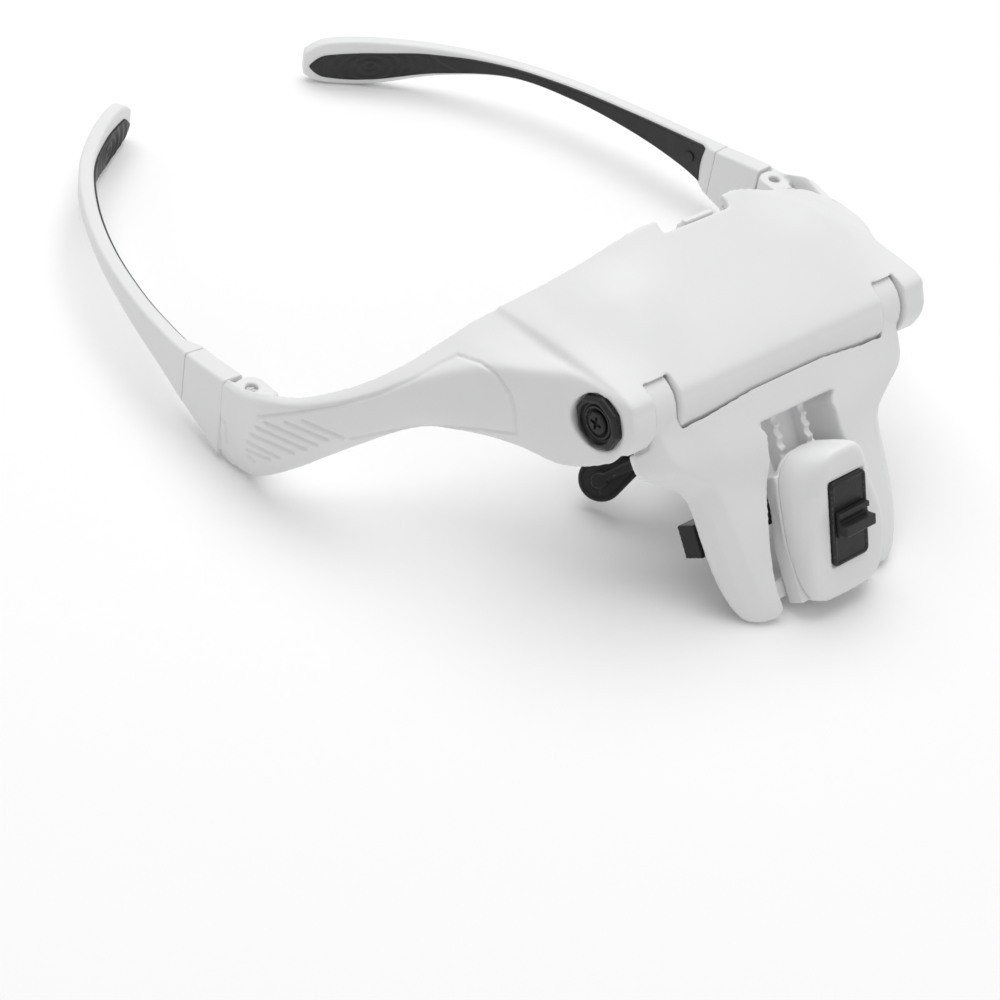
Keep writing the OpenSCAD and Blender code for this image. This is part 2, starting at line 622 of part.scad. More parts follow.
// Block of the clear window's size in the lamp's lower end
module lamp_window(grow, deep) {
    translate([-led_half - 1 - grow, -lamp_split - 2 - grow, -lamp_end + 0.3 - (deep > 1 ? 1 : 0)])
        cube([2 * led_half + 2 + 2 * grow, 1.6 + 2 * grow, deep]);
}

// The rear housing straddles the rail's walls and carries a tongue between them
lamp_back = 2.2;
housing_top = 22.4;
housing_half = window_half - 0.3;
housing_low = 46.8;
lid_t = 1;
module lamp_rear_housing() color("white") on_bracket() difference() {
    union() {
        translate([-housing_half, -lamp_split + 0.02, -housing_low])
            cube([2 * housing_half, lamp_split - lamp_back, housing_low - housing_top]);
        translate([0, -lamp_split + 0.02 + lid_t, 0]) rotate([90, 0, 0]) linear_extrude(height = lid_t)
            polygon([for (k = [0:lamp_points - 1])
                let (q = lamp_outline((k + 0.5) * 360 / lamp_points, 0)) [q[0], -q[1]]]);
    }
    for (s = [-1, 1]) {
        x0 = s > 0 ? rail_half - rail_t - slide_gap : -rail_half - slide_gap;
        translate([x0, -rail_h - slide_gap, -lamp_end - cut])
            cube([rail_t + 2 * slide_gap, rail_h + 1, lamp_end - lamp_top + 1]);
    }
    battery_door_cut();
    spring_cut();
    lamp_screw_places() {
        cylinder(r = lamp_screw_r + 0.05, h = 8, $fn = 24);
        cylinder(r = lamp_head_r + 0.1, h = lamp_back + 0.9, $fn = 24);
    }
    for (x = [-led_half, led_half]) translate([x, -led_h, -led_w - 4])
        cylinder(r = led_d / 2 + 0.1, h = 8, $fn = 32);
}
door_w = 4.6;
door_l = 9;
door_top = 23.6;
module battery_door_cut() {
    translate([-door_w / 2, -lamp_split - cut, -door_top - door_l]) cube([door_w, lamp_split, door_l]);
}
module battery_door() color("whitesmoke") on_bracket() {
    translate([-door_w / 2 + 0.1, -lamp_split + 0.6, -door_top - door_l + 0.1])
        cube([door_w - 0.2, lamp_split - 0.6 - lamp_back, door_l - 0.2]);
}
// Bent leaf whose two legs run along the teeth
spring_top = 34.5;
spring_l = 5.5;
spring_front = lamp_split - lid_t - 0.02;
module spring_cut() {
    translate([-rail_half, -spring_front, -spring_top - spring_l]) cube([2 * rail_half, 6, spring_l]);
}
module click_spring() color("silver") on_bracket() {
    inner = rail_half - rail_t - slide_gap - 0.05;
    translate([-inner, -spring_front + 0.02, -spring_top - spring_l + 0.3]) cube([2 * inner, 0.4, spring_l - 0.6]);
    both_sides() translate([inner - 0.3, -spring_front + 0.02, -spring_top - spring_l + 0.3])
        cube([0.3, 2.6, spring_l - 0.6]);
}
module lamp_screws() color("silver") on_bracket() lamp_screw_places() {
    translate([0, 0, lamp_back + 0.05]) cylinder(r = lamp_head_r, h = 0.85, $fn = 24);
    translate([0, 0, lamp_back + 0.5]) cylinder(r = lamp_screw_r - 0.03, h = lamp_split - lamp_back + 1.4, $fn = 24);
}

module switch_bezel() color("#1a1a1a") on_bracket() at_face(plate_mid, -seat_depth) difference() {
    translate([0, -0.01, 0]) plate_block(0, plate_t);
    translate([-slot_half, -plate_t - cut, -switch_slot]) cube([2 * slot_half, plate_t + 1, 2 * switch_slot]);
}
// The slider's thin skirt covers the slot, and its stem reaches into the switch body
module switch_slider() color("#262626") on_bracket() at_face(plate_mid, -seat_depth) {
    low = -plate_t - 0.1;
    skirt = switch_slot + switch_travel + 0.3;
    translate([-plate_w * 0.34, low - 0.35, -skirt]) cube([plate_w * 0.68, 0.35, 2 * skirt]);
    translate([-plate_w * 0.42, -plate_t - ridge_h * 0.5, -ridge_l / 2])
        cube([plate_w * 0.84, ridge_h * 0.5 - 0.1, ridge_l]);
    translate([-plate_w * 0.42, -plate_t - ridge_h, -ridge_l / 2 + 0.5])
        cube([plate_w * 0.84, ridge_h - 0.2, ridge_l * 0.42]);
    translate([-slot_half + 0.3, low - 0.2, -stem_l / 2]) cube([2 * slot_half - 0.6, 1.6 - low + 0.2, stem_l]);
}
module switch_body() color("#8a8a8a") on_bracket() {
    at_face(plate_mid, -seat_depth) difference() {
        translate([-4.2, 0.62, -4]) cube([8.4, 2, 8]);
        translate([-slot_half, 0, -switch_slot]) cube([2 * slot_half, 1.9, 2 * switch_slot]);
    }
    for (x = [-2.5, 0, 2.5]) translate([x - 0.3, -9.7, -36.4]) cube([0.6, 9.7 + board_y - 1.02, 0.6]);
}
board_y = -lamp_split - 0.02;
module circuit_board() color("darkgreen") on_bracket() {
    translate([-5.8, board_y - 1, -41.2]) cube([11.6, 1, 7.2]);
}
cell_w = 25;
cell_lift = lamp_split + 0.1 + cell_d / 2;
module button_cells() color("silver") on_bracket() {
    for (k = [-1:1])
        translate([k * (cell_t + 0.02) - cell_t / 2, -cell_lift, -cell_w]) rotate([0, 90, 0])
            cylinder(d = cell_d, h = cell_t, $fn = 48);
}
module battery_contacts() color("gold") on_bracket() {
    end = 1.5 * cell_t + 0.04;
    both_sides() translate([end, -cell_lift - 2.5, -cell_w - 2.5]) cube([0.4, cell_lift - lamp_split + 2.4, 5]);
}
led_h = lamp_split + 0.95;
led_w = 43.4;
module leds() color("#fff8d0") on_bracket() {
    for (x = [-led_half, led_half]) translate([x, -led_h, -led_w]) {
        cylinder(d = led_d, h = 2.1, $fn = 32);
        sphere(d = led_d, $fn = 32);
    }
}
module led_holder() color("#202020") on_bracket() difference() {
    translate([-led_half - 1.9, -lamp_split - 2.85, -led_w + 0.2]) cube([2 * led_half + 3.8, 2.8, 1.6]);
    for (x = [-led_half, led_half]) translate([x, -led_h, -led_w - 1])
        cylinder(d = led_d + 0.1, h = 6, $fn = 32);
}
module led_window() color("#dfe8f0") on_bracket() lamp_window(0, 0.8);

// Nose bracket: a stem screwed behind the roll, and an arm to each pad
pad_y = -52.6;
pad_z = 6;
pad_tip = [15.5, -58.2, 13];
stem_low = 15;
module arm(p, q, r) {
    d = q - p;
    translate(p) rotate([0, acos(d[2] / norm(d)), atan2(d[1], d[0])]) cylinder(r = r, h = norm(d), $fn = 24);
}
module nose_bracket() color("#1f1f1f") difference() {
    union() {
        translate([-boss_w / 2, boss_rear, stem_low]) cube([boss_w, 2.2, boss_low + 7 - stem_low]);
        both_sides() {
            arm([4.4, boss_rear + 1.1, stem_low + 1.6], pad_place(elbow_at, arm_out), arm_r);
            translate(pad_place(elbow_at, arm_out)) sphere(r = arm_r + 0.15, $fn = 24);
            arm(pad_place(elbow_at, arm_out), pad_place(0, arm_out), arm_r);
            arm(pad_axis_end(arm_out - arm_r), pad_axis_end(-pad_t / 2 - 0.25), 1.6);
            arm(pad_axis_end(-pad_t / 2 - 0.5), pad_axis_end(0.4), pad_pin_r);
        }
    }
    for (x = [-nose_screw_half, nose_screw_half])
        translate([x, boss_rear + 5, nose_screw_z]) rotate([90, 0, 0])
            cylinder(r = nose_screw_r + 0.05, h = 10, $fn = 24);
}
module nose_bracket_screws() color("silver") {
    for (x = [-nose_screw_half, nose_screw_half])
        translate([x, boss_rear + 2.2, nose_screw_z]) rotate([90, 0, 0]) {
            translate([0, 0, -0.9]) cylinder(r = 1.7, h = 0.9, $fn = 24);
            cylinder(r = nose_screw_r - 0.05, h = 5, $fn = 24);
        }
}
// A pad's pin stands square to the pad, through the middle of its round end
pad_normal = unit([-0.75, 0.45, -0.48]);
pad_middle = [pad_out, pad_y, pad_z];
pad_reach = pad_tip - pad_middle;
pad_along = unit(pad_reach - pad_normal * (pad_reach * pad_normal));
function pad_place(a, s) = pad_middle + pad_along * a + pad_normal * s;
function pad_axis_end(s) = pad_place(0, s);
pad_t = 2.2;
// The arm passes the pad's slim end and runs over its outer face, so the face at the nose is clear
arm_r = 1;
arm_out = -2.5;
elbow_at = 11.5;
module nose_pad() color("#151515") difference() {
    hull() {
        arm(pad_axis_end(-pad_t / 2), pad_axis_end(pad_t / 2), pad_r);
        arm(pad_place(9, 0.3 - pad_t / 2), pad_place(9, pad_t / 2 - 0.3), 1.6);
    }
    arm(pad_axis_end(-4), pad_axis_end(0.5), pad_pin_r + pad_play);
}
module right_nose_pad() mirror([1, 0, 0]) nose_pad();
module left_nose_pad() nose_pad();

// Temple. Each station: outer plan point, then lower and upper edge
seam_y = flank[9][0][1];
temple = [
    [77.1, seam_y + 0.3, 2.7, 19.3],
    [76.9, 4, 3.6, 18.3],
    [76.4, 10.8, 5, 17.2],
    [75.4, 20, 7.4, 16.2],
    [73, 34, 9.2, 15.2],
    [68.4, 51, 10.4, 14.5],
    [61.6, 67, 10.2, 13.9],
    [52, 82, 5.7, 13],
    [40.5, 93.5, 0.7, tip_h + 0.6],
    [31, 100.4, 0.16, tip_h - 0.6],
    [26.6, 103.2, 2.2, tip_h - 3.6]];
temple_count = len(temple) - 1;
function temple_at(u) = along(temple, u);
function temple_side(u) =
    let (a = temple_at(max(u - 0.004, 0)), b = temple_at(min(u + 0.004, 1)))
    unit([-(b[1] - a[1]), b[0] - a[0], 0]);
function temple_ring(u, near, far, low, high) =
    let (s = temple_at(u), n = temple_side(u), o = [s[0], s[1], 0],
         z0 = s[2] + low, z1 = s[3] - high, e = min(0.6, (far - near) * 0.3))
    [o + n * (far - e) + [0, 0, z0], o + n * far + [0, 0, z0 + e],
     o + n * far + [0, 0, z1 - e], o + n * (far - e) + [0, 0, z1],
     o + n * (near + e) + [0, 0, z1], o + n * near + [0, 0, z1 - e * 1.4],
     o + n * near + [0, 0, z0 + e * 1.4], o + n * (near + e) + [0, 0, z0]];
function temple_rings(u0, u1, near, far, low, high, steps) =
    [for (i = [0:steps]) temple_ring(lerp(u0, u1, i / steps), near, far, low, high)];
link_u = link_l / 13.2 * 0.2;
link_gap = 0.15;
module hinge_link() color("white") difference() {
    union() {
        loft(temple_rings(0, link_u, 0, 4.8, 0, 0, 5));
        translate([hinge_x, hinge_y, tongue_low])
            cylinder(r = tongue_r, h = tongue_high - tongue_low, $fn = 48);
        translate([hinge_x - tongue_r + 0.1, hinge_y, tongue_low])
            cube([2 * tongue_r - 0.2, seam_y - hinge_y + 1.6, tongue_high - tongue_low]);
    }
    translate([hinge_x, hinge_y, 0]) cylinder(r = hinge_screw_r + hinge_play, h = 30, $fn = 32);
    temple_tongue(0.12);
}
// Tongue of the temple inside the link
module temple_tongue(grow) {
    tongue_l = 6;
    s = temple_at(link_u);
    translate([s[0] - 3.6 - grow, s[1] - tongue_l - grow, s[2] + 3 - grow])
        cube([2.2 + 2 * grow, tongue_l + grow + 0.6, s[3] - s[2] - 6 + 2 * grow]);
}
module right_hinge_link() mirror([1, 0, 0]) hinge_link();
module left_hinge_link() hinge_link();

module hinge_screw() color("silver") {
    top = flank[8][0][2] - 1.2;
    low = flank[8][2][2] + 0.8;
    translate([hinge_x, hinge_y, low]) cylinder(r = hinge_screw_r - 0.01, h = top - 1.1 - low + 0.2, $fn = 32);
    difference() {
        translate([hinge_x, hinge_y, top - 1.08]) cylinder(r = 1.8, h = 0.9, $fn = 32);
        translate([hinge_x, hinge_y, top]) cube([2.4, 0.5, 0.8], center = true);
    }
}
module right_hinge_screw() mirror([1, 0, 0]) hinge_screw();
module left_hinge_screw() hinge_screw();

lining_from = 0.25;
lining_to = 0.985;
module temple_arm() color("white") difference() {
    union() {
        loft(concat(temple_rings(link_u + 0.002, lining_from, 0, 4.6, 0, 0, 4),
                    temple_rings(lining_from + 0.002, 1, 0, temple_t, 0, 0, 30)));
        temple_tongue(0);
    }
    lining_screw_place() cylinder(r = lining_screw_r, h = 6, center = true, $fn = 24);
}
module right_temple() mirror([1, 0, 0]) temple_arm();
module left_temple() temple_arm();

lining_screw_r = 0.7;
lining_screw_u = 0.285;
module lining_screw_place() {
    s = temple_at(lining_screw_u);
    n = temple_side(lining_screw_u);
    translate([s[0], s[1], (s[2] + s[3]) / 2] + n * (temple_t + lining_t + 0.08))
        rotate([0, 90, atan2(n[1], n[0])]) children();
}
module temple_lining() color("#1a1a1a") difference() {
    loft(temple_rings(lining_from + 0.004, lining_to, temple_t + 0.05, temple_t + lining_t, 0.5, 0.5, 30));
    lining_screw_place() cylinder(r = lining_screw_r + 0.02, h = 12, center = true, $fn = 24);
}
module right_temple_lining() mirror([1, 0, 0]) temple_lining();
module left_temple_lining() temple_lining();
module lining_screw() color("#333333") lining_screw_place() {
    cylinder(r = 1.3, h = 0.5, $fn = 24);
    translate([0, 0, -2.6]) cylinder(r = lining_screw_r - 0.02, h = 2.8, $fn = 24);
}
module right_lining_screw() mirror([1, 0, 0]) lining_screw();
module left_lining_screw() lining_screw();

visor_shell();
brow_cover();
brow_cover_screws();
flip_bracket();
friction_washers();
right_pivot_knob();
left_pivot_knob();
right_pivot_screw();
left_pivot_screw();
lens_carrier();
lens_carrier_screws();
lamp_rear_housing();
lamp_front_cover();
lamp_screws();
click_spring();
switch_bezel();
switch_slider();
switch_body();
circuit_board();
button_cells();
battery_contacts();
battery_door();
leds();
led_holder();
led_window();
nose_bracket();
nose_bracket_screws();
right_nose_pad();
left_nose_pad();
right_hinge_link();
left_hinge_link();
right_hinge_screw();
left_hinge_screw();
right_temple();
left_temple();
right_temple_lining();
left_temple_lining();
right_lining_screw();
left_lining_screw();
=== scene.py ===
"""Looks of the magnifier headset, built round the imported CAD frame.

Shapes are made in millimetres in the frame's own axes (+X the wearer's left, -Y the front, +Z up)
and turned to metres when a piece is finished. Forms on the bracket are made upright and leaned.
"""
import json
import math

import bpy
import numpy as np
from mathutils import Matrix, Vector


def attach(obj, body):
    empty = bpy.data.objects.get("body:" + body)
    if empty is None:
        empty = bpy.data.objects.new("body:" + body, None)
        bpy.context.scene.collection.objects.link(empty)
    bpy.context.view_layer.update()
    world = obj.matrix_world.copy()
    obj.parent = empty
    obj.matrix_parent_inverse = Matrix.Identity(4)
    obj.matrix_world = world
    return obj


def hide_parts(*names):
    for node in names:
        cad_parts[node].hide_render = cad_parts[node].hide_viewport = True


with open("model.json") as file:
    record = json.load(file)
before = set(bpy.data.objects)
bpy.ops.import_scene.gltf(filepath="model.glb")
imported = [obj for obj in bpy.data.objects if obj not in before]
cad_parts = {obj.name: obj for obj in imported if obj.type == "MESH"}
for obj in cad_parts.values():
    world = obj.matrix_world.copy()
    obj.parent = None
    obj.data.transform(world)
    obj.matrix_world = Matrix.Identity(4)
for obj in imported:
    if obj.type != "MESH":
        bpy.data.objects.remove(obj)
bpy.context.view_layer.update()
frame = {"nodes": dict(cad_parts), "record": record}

# Driving dimensions, in millimetres and degrees. The visor comes first: FLIP is a point of the flip axis, which
# runs along X through the roll, the slots beside it and the ears
FLIP = np.array([0.0, -66.5, 38.5])
ROLL_R = 8.1
ROLL_HALF = 28.0
SLOT_W = 6.5
EAR_W = 6.0
SLOT_OUT = ROLL_HALF + SLOT_W
EAR_OUT = SLOT_OUT + EAR_W
SWING_R = 9.6
SHELL_T = 1.8
COVER_T = 1.35
COVER_GAP = 0.25
BROW_REAR = -43.0
BROW_RISE = 57.9
NOTCH_HALF = 9
NOTCH_REAR = BROW_REAR - 2.6
BOSS_HALF = 6
BOSS_FRONT = FLIP[1] + ROLL_R - 2.2
BOSS_DEPTH = 5.4

# Flip bracket with its window and rail, pivot knobs and screws
LEAN = 37.0
LEG_REACH = 48.8
KNUCKLE_R = 7.3
KNUCKLE_GAP = 0.35
LEG_T = 2.6
FOOT_T = 1.9
WINDOW_HALF = 9.5
WINDOW_TOP = 11.3
RAIL_HALF = 4.6
RAIL_T = 1.6
RAIL_H = 4.6
RAIL_LOW = 46.0
RAIL_FLOOR = 0.9
TOOTH_PITCH = 2.3
TOOTH_R = 0.95
SLEEVE_R = 3.0
KNOB_X = EAR_OUT + 0.2
KNOB_R = 5.6
KNOB_H = 1.8
SCREW_R = 2.3
SHANK_R = 1.2

# Lamp, its switch plate and the lens carrier
LAMP_HALF = 10.2
LAMP_TOP = 19.2
LAMP_END = 49.0
LAMP_TILT = 16.5
LAMP_FRONT = 15.4
LAMP_SPLIT = 6.0
LAMP_T = 1.1
LAMP_SIDES = 192
FACE_FROM = 25
PLATE_W = 9.8
PLATE_L = 17.6
PLATE_T = 1.2
PLATE_MID = FACE_FROM + PLATE_L / 2
PLATE_CORNER = 1.3
PLATE_RIM = 0.75
SEAT = 0.5
CARRIER_HALF = 24.0
CARRIER_FRONT = 3.4
CARRIER_REAR = 8.0
CARRIER_SCREW_X = 17.6
CARRIER_SCREW_W = 29.95

# Hinges, links and temples
HINGE = np.array([73.3, -6.3])
LUG_R = 3.4
LUG_LOW = 3.2
LUG_TOP = 19.2
LUG_GAP = (5.9, 14.3)
TONGUE = (6.2, 14)
TEMPLE_T = 2.4
LINING_T = 1.2
LINK_U = 0.2
LINING_FROM = 0.238


# Smooth curves and grids
def lerp(a, b, t):
    return a + (b - a) * t


def unit(v):
    v = np.asarray(v, float)
    return v / np.linalg.norm(v)


def spline(points, u):
    """Catmull-Rom curve through rows of points, at each u from 0 to 1."""
    p = np.asarray(points, float)
    u = np.atleast_1d(np.asarray(u, float))
    n = len(p) - 1
    i = np.clip(np.floor(u * n).astype(int), 0, n - 1)
    t = (u * n - i).reshape((-1,) + (1,) * (p.ndim - 1))
    a, b, c, d = p[np.maximum(i - 1, 0)], p[i], p[i + 1], p[np.minimum(i + 2, n)]
    square, cube = 2 * a - 5 * b + 4 * c - d, 3 * b - a - 3 * c + d
    return 0.5 * (2 * b + (c - a) * t + square * t * t + cube * t**3)


def surface(net, us, vs):
    """Points of a net of columns at every u (across columns) and v (down each column)."""
    down = spline(np.transpose(net, (1, 0, 2)), vs)
    return spline(np.transpose(down, (1, 0, 2)), us)


# Closed solids, each a pair of points and faces
def box(low, high):
    (x0, y0, z0), (x1, y1, z1) = low, high
    points = [(x, y, z) for x in (x0, x1) for y in (y0, y1) for z in (z0, z1)]
    faces = [(0, 1, 3, 2), (4, 6, 7, 5), (0, 4, 5, 1), (2, 3, 7, 6), (0, 2, 6, 4), (1, 5, 7, 3)]
    return np.array(points, float), faces


def loft(rings):
    """Closed skin over a row of rings, with a fan of faces at each end."""
    rings = np.asarray(rings, float)
    n, m = rings.shape[:2]
    points = np.concatenate([rings.reshape(-1, 3), [rings[0].mean(axis=0), rings[-1].mean(axis=0)]])
    faces = []
    for i in range(n - 1):
        for j in range(m):
            k = (j + 1) % m
            faces.append((i * m + j, (i + 1) * m + j, (i + 1) * m + k, i * m + k))
    faces += [(j, (j + 1) % m, n * m) for j in range(m)]
    faces += [((n - 1) * m + (j + 1) % m, (n - 1) * m + j, n * m + 1) for j in range(m)]
    return points, faces


def layer(upper, lower):
    """Closed skin between two grids of the same size."""
    n, m = upper.shape[:2]
    points = np.concatenate([upper.reshape(-1, 3), lower.reshape(-1, 3)])
    at = lambda s, i, j: (s * n + i) * m + j
    faces = []
    for i in range(n - 1):
        for j in range(m - 1):
            faces.append((at(0, i, j), at(0, i + 1, j), at(0, i + 1, j + 1), at(0, i, j + 1)))
            faces.append((at(1, i, j), at(1, i, j + 1), at(1, i + 1, j + 1), at(1, i + 1, j)))
        faces.append((at(0, i, 0), at(1, i, 0), at(1, i + 1, 0), at(0, i + 1, 0)))
        faces.append((at(0, i, m - 1), at(0, i + 1, m - 1), at(1, i + 1, m - 1), at(1, i, m - 1)))
    for j in range(m - 1):
        faces.append((at(0, 0, j), at(0, 0, j + 1), at(1, 0, j + 1), at(1, 0, j)))
        faces.append((at(0, n - 1, j), at(1, n - 1, j), at(1, n - 1, j + 1), at(0, n - 1, j + 1)))
    return points, faces


def rod(start, end, radius, sides=64):
    start, end = np.asarray(start, float), np.asarray(end, float)
    axis = unit(end - start)
    side = unit(np.cross(axis, [0.3, 0.9, 0.31] if abs(axis[0]) > 0.6 else [1, 0, 0]))
    other = np.cross(axis, side)
    a = np.linspace(0, 2 * np.pi, sides, endpoint=False)[:, None]
    circle = np.cos(a) * side + np.sin(a) * other
    return loft([start + radius * circle, end + radius * circle])


def sweep(path, radius, sides=24):
    rings = []
    for i, p in enumerate(path):
        axis = unit(path[min(i + 1, len(path) - 1)] - path[max(i - 1, 0)])
        side = unit(np.cross(axis, [0.12, 0.9, 0.4]))
        other = np.cross(axis, side)
        a = np.linspace(0, 2 * np.pi, sides, endpoint=False)[:, None]
        rings.append(p + radius * (np.cos(a) * side + np.sin(a) * other))
    return loft(rings)


def turned(profile, sides):
    """Solid of revolution round the flip axis, from rows of (radius, x, share of an octagon's shape)."""
    a = np.linspace(0, 2 * np.pi, sides, endpoint=False)
    octagon = math.cos(math.pi / 8) / np.cos(np.mod(a, math.pi / 4) - math.pi / 8)
    rings = []
    for r, x, share in profile:
        radius = r * lerp(1.0, lerp(0.965, octagon, 0.92), share)
        y, z = FLIP[1] + radius * np.cos(a), FLIP[2] + radius * np.sin(a)
        rings.append(np.stack([np.full_like(a, x), y, z], axis=1))
    return loft(rings)


def merge(parts):
    points, faces, base = [], [], 0
    for p, f in parts:
        points.append(p)
        faces += [tuple(k + base for k in face) for face in f]
        base += len(p)
    return np.concatenate(points), faces


def mirrored(part):
    return part[0] * [-1, 1, 1], [face[::-1] for face in part[1]]


def both(*parts):
    """The parts and their mirror images."""
    return list(parts) + [mirrored(p) for p in parts]


def turn_x(points, degrees):
    c, s = math.cos(math.radians(degrees)), math.sin(math.radians(degrees))
    x, y, z = points[:, 0], points[:, 1], points[:, 2]
    return np.stack([x, c * y - s * z, s * y + c * z], axis=1)


def leaned(part):
    """From the bracket's own axes (-z down the legs, -y out of the front) to the frame's."""
    return turn_x(part[0], -LEAN) + FLIP, part[1]


def all_leaned(parts):
    return [leaned(p) for p in parts]


# Blender objects
def new_object(name, part):
    mesh = bpy.data.meshes.new(name)
    mesh.from_pydata([tuple(p) for p in part[0]], [], part[1])
    mesh.update()
    obj = bpy.data.objects.new(name, mesh)
    bpy.context.scene.collection.objects.link(obj)
    return obj


def modify(obj, kind, **settings):
    """Puts one modifier on obj and keeps its result."""
    modifier = obj.modifiers.new(kind, kind)
    for key, value in settings.items():
        setattr(modifier, key, value)
    deps = bpy.context.evaluated_depsgraph_get()
    mesh = bpy.data.meshes.new_from_object(obj.evaluated_get(deps))
    old = obj.data
    obj.modifiers.clear()
    obj.data = mesh
    bpy.data.meshes.remove(old)


def moulded(name, adds, cuts=(), voxel=0.35, soften=5):
    """One smooth moulding from overlapping solids and the solids cut out of them."""
    obj = new_object(name, merge(adds))
    modify(obj, "REMESH", mode="VOXEL", voxel_size=voxel)
    if cuts:
        cutter = new_object(name + "_cut", merge(cuts))
        modify(cutter, "REMESH", mode="VOXEL", voxel_size=voxel)
        modify(obj, "BOOLEAN", operation="DIFFERENCE", solver="MANIFOLD", object=cutter)
        bpy.data.objects.remove(cutter)
        modify(obj, "REMESH", mode="VOXEL", voxel_size=voxel)
    modify(obj, "SMOOTH", factor=0.5, iterations=soften)
    return obj


def mesh_arrays(obj):
    mesh = obj.data
    points = np.empty(len(mesh.vertices) * 3, np.float32)
    mesh.vertices.foreach_get("co", points)
    normals = np.empty(len(mesh.vertices) * 3, np.float32)
    mesh.vertex_normals.foreach_get("vector", normals)
    return points.reshape(-1, 3).astype(float), normals.reshape(-1, 3).astype(float)


def set_points(obj, points):
    obj.data.vertices.foreach_set("co", points.astype(np.float32).ravel())
    obj.data.update()


def distance_to_line(points, line):
    best = np.full(len(points), 1e9)
    for a, b in zip(line[:-1], line[1:]):
        d = b - a
        t = np.clip((points - a) @ d / max(d @ d, 1e-12), 0, 1)
        best = np.minimum(best, np.linalg.norm(points - a - t[:, None] * d, axis=1))
    return best


def press(obj, line, half_width, depth):
    """Presses a groove into obj along a line of points, on the side of the surface that they lie on."""
    points, normals = mesh_arrays(obj)
    near = np.all((points > line.min(axis=0) - 3) & (points < line.max(axis=0) + 3), axis=1)
    index = np.nonzero(near)[0]
    if not len(index):
        return
    d = distance_to_line(points[index], line)
    closest = normals[index[np.argmin(d)]]
    t = np.clip(d / half_width, 0, 1)
    amount = depth * (1 - t * t) ** 2
    amount[normals[index] @ closest < 0.1] = 0
    points[index] -= amount[:, None] * normals[index]
    set_points(obj, points)


def finished(obj, body, material, replaces=()):
    """Turns a piece to metres, gives it its look, hangs it on its body, and hides the CAD nodes that it
    replaces.
    """
    obj.data.transform(Matrix.Diagonal((0.001, 0.001, 0.001, 1)))
    obj.data.materials.clear()
    obj.data.materials.append(material)
    obj.data.polygons.foreach_set("use_smooth", [True] * len(obj.data.polygons))
    obj.data.update()
    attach(obj, body)
    if replaces:
        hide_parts(*replaces)


# Camera at the photograph's viewpoint: place in millimetres, axes, and focal length in pixels of a frame that is
# PICTURE wide
EYE = np.array([-343.75, -318.68, 337.12])
RIGHT = np.array([0.74334, -0.65421, 0.13949])
UP = np.array([0.34110, 0.55011, 0.76225])
FORWARD = np.array([0.57541, 0.51903, -0.63207])
FOCAL = 2700.0
PICTURE = 1000


def seen(obj, pixels, spread):
    """Points of obj under a line of places in the picture, with extra ones between them."""
    bpy.context.view_layer.update()
    found = []
    pixels = np.asarray(pixels, float)
    steps = np.linspace(0, len(pixels) - 1, (len(pixels) - 1) * spread + 1)
    for s in steps:
        k = min(int(s), len(pixels) - 2)
        px, py = lerp(pixels[k], pixels[k + 1], s - k)
        ray = FORWARD * FOCAL + RIGHT * (px - PICTURE / 2) - UP * (py - PICTURE / 2)
        hit, place, _, _ = obj.ray_cast(Vector(EYE), Vector(unit(ray)))
        if hit:
            found.append(np.array(place))
    return np.array(found)


